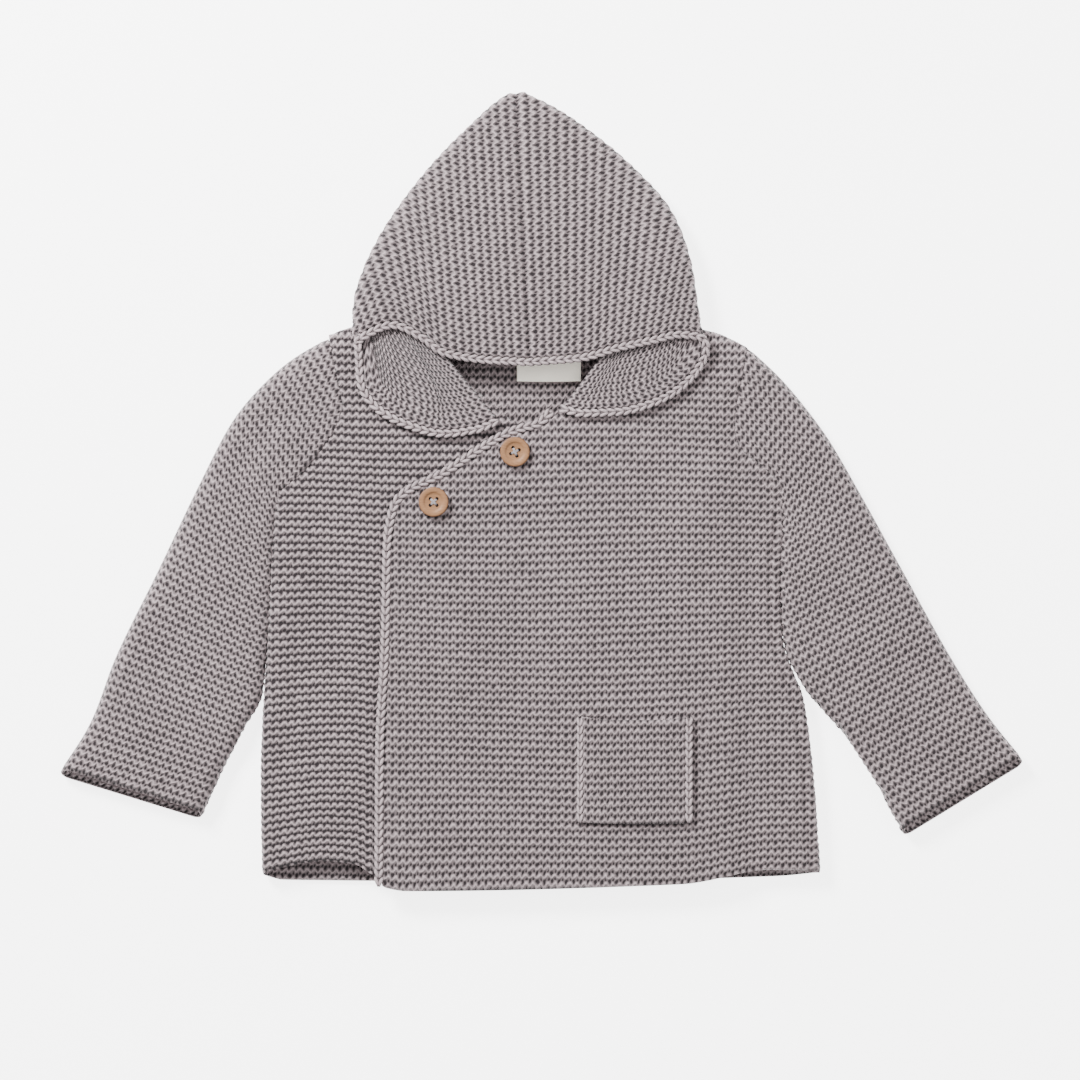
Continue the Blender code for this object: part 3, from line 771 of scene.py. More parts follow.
def settle(piece: bpy.types.Object, node: str, finish: bpy.types.Material) -> None:
    """Dress a piece, put it on the garment's body and let it stand for its solid.

    Args:
        piece: The piece.
        node: The node that it stands for, or nothing.
        finish: Its material.
    """
    piece.data.materials.clear()
    piece.data.materials.append(finish)
    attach(piece, ROOT)
    if node:
        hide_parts(node)
    LOG.info("%s: %d faces", piece.name, len(piece.data.polygons))


@dataclass
class Panel:
    """A flat-knitted panel of the body.

    Attributes:
        name: The panel's name.
        outline: Its outline in order, with its side folds rolled out.
        place: The middle of its wall at places of the rolled-out panel.
        up: 1 for a front and -1 for the back, whose outer face is underneath.
        row_shift: How far the ridges are moved up at places of the panel.
        stitch: The width of a stitch.
        start: Where a column of stitches begins, so that it runs along an edge.
        seams: Lines along which the cloth sinks.
    """

    name: str
    outline: Grid
    place: Callable[[Grid, Grid], Grid]
    up: int
    row_shift: Callable[[Grid, Grid], Grid]
    stitch: float = STITCH
    start: Place | None = None
    seams: tuple[Grid, ...] = ()

    def sheet(self) -> KnitSheet:
        """Lay the lattice of stitches over the outline and cut it.

        Returns:
            The panel's sheet.
        """
        low = self.outline.min(axis=0) - 2 * RIDGE
        high = self.outline.max(axis=0) + 2 * RIDGE
        if self.start is not None:
            low[0] = self.start.x - self.stitch * math.ceil((self.start.x - low[0]) / self.stitch)
        across = math.ceil((high[0] - low[0]) / self.stitch)
        ridges = math.ceil((high[1] - low[1]) / RIDGE)
        u, v = np.meshgrid(np.arange(across * FINE + 1) / FINE, np.arange(ridges * FINE + 1) / FINE)
        flat = np.stack([low[0] + u * self.stitch, low[1] + v * RIDGE], axis=-1)
        flat[..., 1] += self.row_shift(flat[..., 0], flat[..., 1])
        centre = (flat[:-1, :-1] + flat[1:, 1:] + flat[:-1, 1:] + flat[1:, :-1]) / 4
        kept = inside(centre, self.outline)
        flat = self.snap(flat, kept)
        middle = self.place(flat[..., 0], flat[..., 1])
        made = KnitSheet(self.name, middle, kept, np.stack([u, v], axis=-1), self.up)
        if self.seams:
            made.groove = sum(valley(flat, line) for line in self.seams)
        return made

    def snap(self, flat: Grid, kept: Grid) -> Grid:
        """The lattice with the nodes of its cut edge moved onto the outline, and their neighbours
        part of the way.

        Args:
            flat: The lattice, laid flat.
            kept: Which small quads belong to the panel.

        Returns:
            The lattice with its edge on the outline.
        """
        rows, columns = flat.shape[:2]
        count = np.zeros((rows, columns), int)
        for j in (0, 1):
            for i in (0, 1):
                count[j : rows - 1 + j, i : columns - 1 + i] += kept
        edge = (count > 0) & (count < 4)
        moved = np.zeros_like(flat)
        moved[edge] = nearest(flat[edge], self.outline) - flat[edge]
        near = spread(spread(edge)) & (count == 4)
        for _ in range(3):
            padded = np.pad(moved, ((1, 1), (1, 1), (0, 0)))
            total = padded[:-2, 1:-1] + padded[2:, 1:-1] + padded[1:-1, :-2] + padded[1:-1, 2:]
            moved[near] = total[near] / 4
        return flat + moved


def valley(flat: Grid, line: Grid, width: float = 1.5, depth: float = 1.6) -> Grid:
    """How far the cloth sinks along a seam line, at each node.

    Args:
        flat: The lattice, laid flat.
        line: The seam line.
        width: The half width of the groove.
        depth: Its depth.

    Returns:
        The depth at each node.
    """
    points = flat.reshape(-1, 2)
    away = np.linalg.norm(points - nearest_open(points, line), axis=1).reshape(flat.shape[:2])
    return depth * np.exp(-((away / width) ** 2))


def nearest_open(points: Grid, line: Grid) -> Grid:
    """The nearest places on an open line to some points.

    Args:
        points: Some points.
        line: The points of the line.

    Returns:
        A place on the line for each point.
    """
    best = np.full(len(points), np.inf)
    found = points.copy()
    for a, b in zip(line[:-1], line[1:]):
        run = b - a
        t = np.clip((points - a) @ run / max(float(run @ run), 1e-9), 0, 1)
        place = a + t[:, None] * run
        away = np.linalg.norm(points - place, axis=1)
        closer = away < best
        best[closer] = away[closer]
        found[closer] = place[closer]
    return found


# Finishes.


class Nodes:
    """The nodes of one material."""

    def __init__(self, name: str) -> None:
        """Start an empty material of this name.

        Args:
            name: The material's name.
        """
        self.material = bpy.data.materials.new(name)
        self.material.use_nodes = True
        self.tree = self.material.node_tree
        self.tree.nodes.clear()
        self.output = self.tree.nodes.new("ShaderNodeOutputMaterial")

    def add(
        self, kind: str, settings: dict[str, Any] | None = None, **sockets: Any
    ) -> bpy.types.Node:
        """Add a node.

        Args:
            kind: The node's type, without the shader prefix.
            settings: Its own settings, set before its sockets.
            sockets: Values or links for its sockets, with underscores for spaces.

        Returns:
            The node.
        """
        node = self.tree.nodes.new(f"ShaderNode{kind}")
        for key, value in (settings or {}).items():
            setattr(node, key, value)
        for key, value in sockets.items():
            self.put(node.inputs[key.replace("_", " ")], value)
        return node

    def put(self, socket: bpy.types.NodeSocket, value: Any) -> None:
        """Set or link one socket.

        Args:
            socket: The socket.
            value: A number, colour, socket or expression.
        """
        if isinstance(value, Field):
            self.tree.links.new(value.socket, socket)
        elif isinstance(value, bpy.types.NodeSocket):
            self.tree.links.new(value, socket)
        elif isinstance(value, tuple) and socket.type == "RGBA":
            socket.default_value = (*value, 1.0)
        else:
            socket.default_value = value

    def value(self, socket: bpy.types.NodeSocket) -> Field:
        """A socket as an expression."""
        return Field(self.tree, socket)

    def blend(self, share: Any, a: Any, b: Any) -> bpy.types.NodeSocket:
        """A colour a share of the way from a to b.

        Args:
            share: How much of b there is, from 0 to 1.
            a: The first colour.
            b: The second colour.

        Returns:
            The mixed colour.
        """
        node = self.tree.nodes.new("ShaderNodeMix")
        node.data_type = "RGBA"
        self.put(node.inputs["Factor"], share)
        self.put(node.inputs[6], a)
        self.put(node.inputs[7], b)
        return node.outputs[2]

    def toned(self, colour: Any, tone: Field) -> bpy.types.NodeSocket:
        """A colour made lighter or darker by a tone.

        Args:
            colour: The colour.
            tone: What it is multiplied by.

        Returns:
            The toned colour.
        """
        node = self.add("VectorMath", {"operation": "SCALE"}, Scale=tone)
        self.put(node.inputs[0], colour)
        return node.outputs["Vector"]

    def split(self, vector: bpy.types.NodeSocket) -> tuple[Field, Field]:
        """The X and Y of a vector."""
        node = self.add("SeparateXYZ", {}, Vector=vector)
        return self.value(node.outputs["X"]), self.value(node.outputs["Y"])

    def noise(self, place: bpy.types.NodeSocket, scale: float, detail: float = 2.0) -> Field:
        """A soft random value around 0.5."""
        node = self.add("TexNoise", {}, Vector=place, Scale=scale, Detail=detail)
        return self.value(node.outputs["Fac"])

    def finish(self, bump: Field | None, distance: float, **sockets: Any) -> bpy.types.Material:
        """Close the material with its surface.

        Args:
            bump: The height of the fine relief.
            distance: How deep the relief is, in metres.
            sockets: Values or links of the surface's sockets.

        Returns:
            The material.
        """
        surface = self.add("BsdfPrincipled", {}, **sockets)
        if bump is not None:
            lift = self.add("Bump", {}, Height=bump, Distance=distance, Strength=1.0)
            self.put(surface.inputs["Normal"], lift.outputs["Normal"])
        self.put(self.output.inputs["Surface"], surface.outputs["BSDF"])
        return self.material


@dataclass(frozen=True)
class Yarn:
    """Thick soft cotton yarn, a mauve grey.

    Attributes:
        name: The material's name.
        light: The colour on the crests of the yarn: its own colour lifted by a painted highlight.
        deep: The painted shade in the pits and grooves between the yarns.
        stitched: Whether it is knitted in garter stitch, or else runs along the legs of a braid.
        groove: The depth of the groove between ridges.
        bump: How deep the fine relief is, in metres.
        fuzz_scale, patch_scale, drift_scale, strand_scale: How fine its fibres, its uneven spots,
            its slow changes of tone and its strands are.
        wobble, sway: How far stitches stray across and along, and how finely.
    """

    name: str
    light: tuple[float, float, float] = (0.385, 0.314, 0.324)
    deep: tuple[float, float, float] = (0.018, 0.013, 0.015)
    stitched: bool = True
    groove: float = OPEN_GROOVE
    bump: float = 0.0009
    fuzz_scale: float = 1600.0
    patch_scale: float = 240.0
    drift_scale: float = 22.0
    strand_scale: float = 700.0
    wobble: tuple[float, float] = (0.5, 330.0)
    sway: tuple[float, float] = (0.4, 190.0)

    def build(self) -> bpy.types.Material:
        """Make the material.

        Returns:
            The material, on the piece's own map of its stitches or of its braid's legs.
        """
        nodes = Nodes(self.name)
        place = nodes.add("TexCoord").outputs["Object"]
        fuzz = nodes.noise(place, self.fuzz_scale, 3.0)
        drift = nodes.noise(place, self.drift_scale)
        patch = nodes.noise(place, self.patch_scale, 1.0)
        tone = 0.96 + (drift - 0.5) * 0.3 + (patch - 0.5) * 0.4 + (fuzz - 0.5) * 0.45
        u, v = nodes.split(nodes.add("UVMap", {"uv_map": "Stitches"}).outputs["UV"])
        if self.stitched:
            wobble = nodes.noise(place, self.wobble[1], 1.0) - 0.5
            sway = nodes.noise(place, self.sway[1], 1.0) - 0.5
            height = garter(u + wobble * self.wobble[0], v + sway * self.sway[0], self.groove)
            # The colour follows the height of the stitch: painted shade in the pits and grooves,
            # painted highlight on the crests.
            lit = height.math("POWER", 1.15)
            relief = height + fuzz * 0.12
        else:
            strand = nodes.noise(place, self.strand_scale, 1.0)
            # On a braid the colour is painted darker at both ends of each leg, where it tucks under
            # the next link, and on each leg's underside: painted shade.
            tuck_shading = (u * (u * -1.0 + 1.0) * 5.0).math("MINIMUM", 1.0)
            lit = positive(tuck_shading * positive(v + 0.45) * 0.78 + (strand - 0.5) * 0.4)
            relief = fuzz * 0.5 + strand
        # Painted shade and highlight, blended from the deep colour to the light one, then given the
        # yarn's uneven tone.
        shade = nodes.blend(lit.math("MINIMUM", 1.0), self.deep, self.light)
        return nodes.finish(
            relief,
            self.bump,
            Base_Color=nodes.toned(shade, tone),
            Roughness=0.9,
            Sheen_Weight=0.2,
            Sheen_Roughness=0.5,
            Specular_IOR_Level=0.2,
        )


@dataclass(frozen=True)
class Wood:
    """Light brown wood, turned and left matt, a little darker round its rim."""

    name: str
    pale: tuple[float, float, float] = (0.29, 0.148, 0.068)
    brown: tuple[float, float, float] = (0.12, 0.05, 0.022)
    centre: tuple[float, float] = (0.0, 0.0)
    radius: float = 0.008
    turn: float = 0.0
    grain_scale: float = 260.0
    fleck_scale: float = 900.0
    stretch: float = 6.0
    rim_start: float = 0.86
    rim_rise: float = 3.2

    def build(self) -> bpy.types.Material:
        """Make the material.

        Returns:
            The material, with its grain and rim about the button's own centre.
        """
        nodes = Nodes(self.name)
        place = nodes.add("TexCoord").outputs["Object"]
        own = nodes.add(
            "Mapping",
            {"vector_type": "TEXTURE"},
            Vector=place,
            Location=(*self.centre, 0.0),
            Rotation=(0.0, 0.0, self.turn),
        ).outputs["Vector"]
        along_grain = nodes.add("Mapping", {}, Vector=own, Scale=(1.0, self.stretch, 1.0))
        grain = nodes.noise(along_grain.outputs["Vector"], self.grain_scale, 4.0)
        fleck = nodes.noise(own, self.fleck_scale)
        x, y = nodes.split(own)
        out = root(x * x + y * y) / self.radius
        rim = positive(out - self.rim_start) * self.rim_rise
        share = (grain * 0.9 + fleck * 0.25 - 0.25 + rim).math("MINIMUM", 1.0)
        return nodes.finish(
            grain * 0.7 + fleck * 0.3,
            0.00012,
            Base_Color=nodes.blend(share, self.pale, self.brown),
            Roughness=0.55,
            Specular_IOR_Level=0.35,
        )


@dataclass(frozen=True)
class Thread:
    """Grey sewing thread."""

    name: str
    grey: tuple[float, float, float] = (0.34, 0.32, 0.34)
    dark: tuple[float, float, float] = (0.2, 0.18, 0.19)
    ply_scale: float = 2600.0

    def build(self) -> bpy.types.Material:
        """Make the material.

        Returns:
            The material.
        """
        nodes = Nodes(self.name)
        ply = nodes.noise(nodes.add("TexCoord").outputs["Object"], self.ply_scale)
        colour = nodes.blend(ply, self.dark, self.grey)
        return nodes.finish(ply, 0.0002, Base_Color=colour, Roughness=0.7, Sheen_Weight=0.2)


@dataclass(frozen=True)
class Ribbon:
    """A woven cream ribbon with a fine cross weave. It glows faintly in its own cream: painted light
    that lifts it out of the shade under the hood's lip.
    """

    name: str
    cream: tuple[float, float, float] = (0.95, 0.89, 0.78)
    warp: float = 0.00045
    weft: float = 0.0006
    painted_glow: float = 0.3

    def build(self) -> bpy.types.Material:
        """Make the material.

        Returns:
            The material, with a fine cross weave and a faint painted light of its own.
        """
        nodes = Nodes(self.name)
        place = nodes.add("TexCoord").outputs["Object"]
        x, y = nodes.split(place)
        warp = sine(x * (2 * math.pi / self.warp)) * 0.5 + 0.5
        weft = sine(y * (2 * math.pi / self.weft)) * 0.5 + 0.5
        soft = nodes.noise(place, 160.0)
        tone = 0.94 + soft * 0.1 + warp * 0.03 + weft * 0.04
        return nodes.finish(
            warp * 0.5 + weft * 0.5,
            0.00008,
            Base_Color=nodes.toned(self.cream, tone),
            Roughness=0.6,
            Sheen_Weight=0.1,
            # A woven ribbon gives no light: this emission is painted light.
            Emission_Color=self.cream,
            Emission_Strength=self.painted_glow,
        )


# The body.


def line_of(rows: Sequence[Place], count: int, key: str = "y") -> Grid:
    """Points of an edge, evenly up or across the garment.

    Args:
        rows: The table of the edge.
        count: How many points are wanted.
        key: The axis along which they are evenly spaced.

    Returns:
        The points.
    """
    name = "x" if key == "y" else "y"
    low, high = getattr(rows[0], key), getattr(rows[-1], key)
    at = np.linspace(low, high, count)
    other = along(rows, key, name, at)
    return np.stack([other, at] if key == "y" else [at, other], axis=1)


def inset_line(rows: Sequence[Place], side: int, band: float) -> Grid:
    """The free edge of a front, moved into the cloth by the width of its band.

    Args:
        rows: The table of the edge.
        side: -1 for the right front and 1 for the left one.
        band: The width of its band.

    Returns:
        The moved edge, from its lowest point up.
    """
    line = line_of(rows, 240)
    tangent = np.gradient(line, axis=0)
    tangent /= np.linalg.norm(tangent, axis=1)[:, None]
    width = np.where(line[:, 1] < WRAP_END, band, GAP)
    moved = line + np.column_stack([side * tangent[:, 1], -side * tangent[:, 0]]) * width[:, None]
    return moved[np.argsort(moved[:, 1])]


def rolled_side(y: Grid, side: int) -> Grid:
    """How far out a panel reaches with its side fold rolled out, for heights y.

    Args:
        y: Places up the garment.
        side: -1 at negative X and 1 at positive X.

    Returns:
        How far across the panel reaches.
    """
    past = ease((y - UNDERARM) / ARM_TURN)
    folded = side_outline(y, side) + side * (FOLD_RADIUS * math.pi / 2 - SEAM_HALF - EDGE)
    open_edge = side_outline(y, side) - side * GAP / 2
    return mix(folded, open_edge, past)


def fold_over(s: Grid, y: Grid, up: int, height: Grid) -> Grid:
    """The middle of a wall whose sides turn over a quarter fold.

    Args:
        s: Places across with the side folds rolled out.
        y: Places up the garment.
        up: 1 for a front and -1 for the back.
        height: The middle of the wall where it lies flat.

    Returns:
        Points of the middle.
    """
    x, z = s.copy(), height.copy()
    past = ease((y - UNDERARM) / ARM_TURN)
    for side in (-1, 1):
        flat_end = side * side_outline(y, side) - EDGE
        over = np.maximum(side * s - flat_end, 0.0)
        angle = np.clip(over / FOLD_RADIUS, 0, math.pi / 2)
        turned = side * (flat_end + FOLD_RADIUS * np.sin(angle))
        fold_z = FOLD_MID + up * FOLD_RADIUS * np.cos(angle)
        on = over > 0
        x = np.where(on, mix(turned, s, past), x)
        z = np.where(on, mix(fold_z, height, past), z)
    return np.stack([x, y, z], axis=-1)


@dataclass(frozen=True)
class Crease:
    """A soft ridge or trough in the cloth, from one place to another."""

    start: Place
    end: Place
    width: float
    rise: float

    def height(self, x: Grid, y: Grid) -> Grid:
        """How far it lifts the cloth at some places.

        Args:
            x: Places across the garment.
            y: Places up the garment.

        Returns:
            The rise at each place.
        """
        run = np.array([self.end.x - self.start.x, self.end.y - self.start.y])
        size = float(run @ run)
        t = ((x - self.start.x) * run[0] + (y - self.start.y) * run[1]) / size
        held = np.clip(t, 0, 1)
        away = np.hypot(x - self.start.x - held * run[0], y - self.start.y - held * run[1])
        taper = np.clip(1 - np.abs(2 * t - 1) ** 3 * 0.6, 0, 1)
        return self.rise * np.exp(-((away / self.width) ** 2)) * taper


FRONT_CREASES = (
    Crease(Place(-62, -30), Place(-30, -120), 11, 1.5),
    Crease(Place(-8, 12), Place(66, -34), 12, 1.5),
    Crease(Place(30, -12), Place(96, -52), 10, -0.9),
    Crease(Place(100, 26), Place(78, -40), 9, 1.3),
    Crease(Place(-66, -172), Place(4, -192), 11, 1.2),
    Crease(Place(64, -88), Place(126, -104), 9, 1.1),
    Crease(Place(20, -70), Place(-10, -150), 16, 0.9),
)
UNDER_CREASES = (
    Crease(Place(-122, 34), Place(-112, -96), 9, -1.2),
    Crease(Place(-138, -30), Place(-141, -130), 6, 0.7),
    Crease(Place(-100, 34), Place(-62, 18), 8, 1.1),
    Crease(Place(-134, -150), Place(-98, -174), 10, 1.0),
    Crease(Place(-98, -40), Place(-94, -128), 7, 0.8),
)
RIGHT_SLEEVE_CREASES = (
    Crease(Place(-134, 36), Place(-150, 4), 6, 1.0),
    Crease(Place(-142, 42), Place(-164, 12), 7, -0.8),
    Crease(Place(-200, -38), Place(-172, -52), 11, 1.2),
    Crease(Place(-216, -84), Place(-190, -88), 12, -0.9),
    Crease(Place(-226, -120), Place(-205, -130), 10, 0.9),
)
LEFT_SLEEVE_CREASES = (
    Crease(Place(122, 34), Place(140, 6), 7, 1.1),
    Crease(Place(134, 36), Place(154, 4), 8, -0.8),
    Crease(Place(192, -42), Place(166, -60), 10, 1.1),
    Crease(Place(214, -84), Place(186, -102), 12, -0.9),
    Crease(Place(230, -128), Place(206, -140), 10, 1.0),
)


def lifted(creases: Sequence[Crease], x: Grid, y: Grid) -> Grid:
    """How far all the creases lift the cloth at some places."""
    return sum((c.height(x, y) for c in creases), np.zeros(np.shape(x)))


@dataclass
class Body:
    """The back, both fronts, the pocket and the band up the wrap edge.

    Attributes:
        yarn: The knitted yarn.
        pressed: The same yarn where the ridges lie closer together, with deeper grooves in its bump
            and darker painted shade along them.
        braid: The yarn of the bands.
        side_seam: How far the left front's seam lies from its side.
        wrap_band: How far the wrap edge's band reaches into the front.
        wrap_inset: How far the middle of the band lies from the edge.
        wrap_join: Where the band runs under the hood.
        pocket_size: The pocket's width and height, with its bands.
        pocket_middle: The middle of the pocket.
        pocket_bands: The widths of the bands at its left and right sides.
    """

    yarn: bpy.types.Material
    pressed: bpy.types.Material
    braid: bpy.types.Material
    side_seam: float = 6.0
    wrap_band: float = 4.4
    wrap_inset: float = 2.7
    wrap_join: Place = Place(5.0, 42.2)
    pocket_size: tuple[float, float] = (62.6, 57.8)
    pocket_middle: Place = Place(50.8, -150.7)
    pocket_bands: tuple[float, float] = (2.8, 4.2)

    def side_line(self, low: float, side: int) -> Grid:
        """A panel's side edge from its hem up to its shoulder, rolled out.

        Args:
            low: The height of its lower end.
            side: -1 at negative X and 1 at positive X.

        Returns:
            The points of the edge.
        """
        high = float(shoulder_line(np.array(side * 113.0)))
        y = np.concatenate([np.linspace(low, -14, 60), np.linspace(-12, high, 70)])
        return np.stack([rolled_side(y, side), y], axis=1)

    def back(self) -> Panel:
        """The back, whose outer face lies on the surface.

        Returns:
            The panel.
        """
        hem = line_of(BACK_HEM, 60, "x")
        right = self.side_line(-206.8, 1)
        left = self.side_line(-207.6, -1)
        top = line_of(TOP, 120, "x")
        top = top[(top[:, 0] > SHOULDER_LEFT) & (top[:, 0] < SHOULDER_RIGHT)] - [0, GAP / 2]
        outline = np.concatenate([hem[1:-1], right, top[::-1], left[::-1]])

        def place(x: Grid, y: Grid) -> Grid:
            """The middle of the back."""
            return fold_over(x, y, -1, back_height(x, y))

        def shift(x: Grid, y: Grid) -> Grid:
            """The ridges sag with the hem."""
            return -2.0 * np.exp(-((y + 212) / 60.0) ** 2) * (1 - (x / 150) ** 2)

        return Panel("back_knit", outline, place, -1, shift)

    def front(self, side: int) -> Panel:
        """The front on one side: the left front, at positive X, lies over the right one.

        Args:
            side: -1 for the right front, underneath, and 1 for the left one.

        Returns:
            The panel.
        """
        over = side > 0
        hem_rows = LEFT_HEM if over else RIGHT_HEM
        edge = inset_line(LEFT_EDGE if over else RIGHT_EDGE, side, self.wrap_band if over else GAP)
        height = over_height if over else front_height
        creases = FRONT_CREASES if over else UNDER_CREASES
        hem = line_of(hem_rows, 120, "x")
        low = float(hem[-1, 1] if over else hem[0, 1])
        seam = self.side_line(low, side)
        hem_edge = np.interp(edge[:, 0], hem[:, 0], hem[:, 1])
        edge = edge[edge[:, 1] > hem_edge + 0.5]
        neck = NECK_RIGHT if over else NECK_LEFT
        edge = edge[edge[:, 1] < neck.y - 0.4]
        top = line_of(TOP, 160, "x")
        if over:
            top = top[(top[:, 0] > neck.x) & (top[:, 0] < SHOULDER_RIGHT)] - [0, GAP / 2]
            hem = hem[(hem[:, 0] > edge[0, 0] + 0.3) & (hem[:, 0] < seam[0, 0] - 0.3)]
            outline = np.concatenate([hem, seam, top[::-1], edge[::-1]])
        else:
            top = top[(top[:, 0] < neck.x) & (top[:, 0] > SHOULDER_LEFT)] - [0, GAP / 2]
            hem = hem[(hem[:, 0] < edge[0, 0] - 0.3) & (hem[:, 0] > seam[0, 0] + 0.3)]
            outline = np.concatenate([hem, edge, top[::-1], seam[::-1]])

        def place(x: Grid, y: Grid) -> Grid:
            """The middle of the front."""
            return fold_over(x, y, 1, height(x, y) + lifted(creases, x, y))

        def shift(x: Grid, y: Grid) -> Grid:
            """The ridges follow the hem, less and less up the garment, and wave a little."""
            near = np.exp(-(np.maximum(y + 210, 0) / 70.0))
            return (along(hem_rows, "x", "y", x) + 211.0) * near + 1.3 * np.sin(x / 34 + y / 51)

        start = Place(float(edge[0, 0]), 0.0)
        name = "front_left_knit" if over else "front_right_knit"
        panel = Panel(name, outline, place, 1, shift, start=start)
        if over:
            y = np.linspace(-204, -14, 60)
            panel.seams = (np.stack([side_outline(y, 1) - self.side_seam, y], axis=1),)
        return panel

    def pocket(self) -> Panel:
        """The patch pocket, standing on the left front.

        Returns:
            The panel.
        """
        half_x, half_y = self.pocket_size[0] / 2, self.pocket_size[1] / 2
        x0, y0 = self.pocket_middle
        left, right = x0 - half_x + self.pocket_bands[0], x0 + half_x - self.pocket_bands[1]
        low, high = y0 - half_y, y0 + half_y
        outline = np.array(
            [
                (left, low + 0.6),
                (mix(left, right, 0.5), low - 0.2),
                (right, low),
                (right + 0.3, mix(low, high, 0.5)),
                (right, high - 0.4),
                (mix(left, right, 0.8), high - 1.9),
                (mix(left, right, 0.2), high - 1.7),
                (left, high),
                (left - 0.4, mix(low, high, 0.5)),
            ]
        )

        def place(x: Grid, y: Grid) -> Grid:
            """The middle of the pocket."""
            z = over_height(x, y) + PILE + lifted(FRONT_CREASES, x, y)
            return np.stack([x, y, z + 1.0 * ease((y - high + 10) / 10)], axis=-1)

        def shift(x: Grid, y: Grid) -> Grid:
            """The ridges rise a little towards the side."""
            return 0.6 * np.sin((x - x0) / 22.0)

        return Panel("pocket_knit", outline, place, 1, shift, stitch=3.56)

    def make(self) -> None:
        """Build the panels and their bands."""
        made = {}
        for panel, node in (
            (self.back(), "back"),
            (self.front(-1), "front_right"),
            (self.front(1), "front_left"),
            (self.pocket(), "pocket"),
        ):
            sheet = panel.sheet()
            made[node] = (sheet.build(), sheet)
            # The right front takes the copy of the yarn whose grooves are deeper and painted darker:
            # painted shade.
            yarn = self.pressed if node == "front_right" else self.yarn
            settle(made[node][0], node, yarn)
        wrap = Braid("front_edge_braid", self.wrap_line(), LINK, 1.12).build()
        settle(wrap, "front_edge_trim", self.braid)
        x0, y0 = self.pocket_middle
        half_x, half_y = self.pocket_size[0] / 2, self.pocket_size[1] / 2
        sides = (("pocket_braid", x0 + half_x - 2.4, 0.95), ("pocket_edge", x0 - half_x + 1.5, 0.8))
        for name, x, width in sides:
            y = np.linspace(y0 - half_y + 0.8, y0 + half_y - 1.0, 30)
            xs = np.full_like(y, x)
            z = over_height(xs, y) + PILE + lifted(FRONT_CREASES, xs, y) + 0.4
            side = Braid(name, np.stack([xs, y, z], axis=1), LINK, width).build()
            settle(side, "", self.braid)

    def wrap_line(self) -> Grid:
        """The middle of the band up the left front's wrap edge and along its slant.

        Returns:
            The points of the middle.
        """
        rows = [(row.x, row.y) for row in LEFT_EDGE if row.y < WRAP_END]
        line = through(rows, 160)
        line = line[line[:, 1] > WRAP_START]
        tangent = np.gradient(line, axis=0)
        tangent /= np.linalg.norm(tangent, axis=1)[:, None]
        line += np.column_stack([tangent[:, 1], -tangent[:, 0]]) * self.wrap_inset
        line = through([*line[::6], self.wrap_join], 160)
        x, y = line.T
        return np.column_stack([line, over_height(x, y) + 0.9 + lifted(FRONT_CREASES, x, y)])


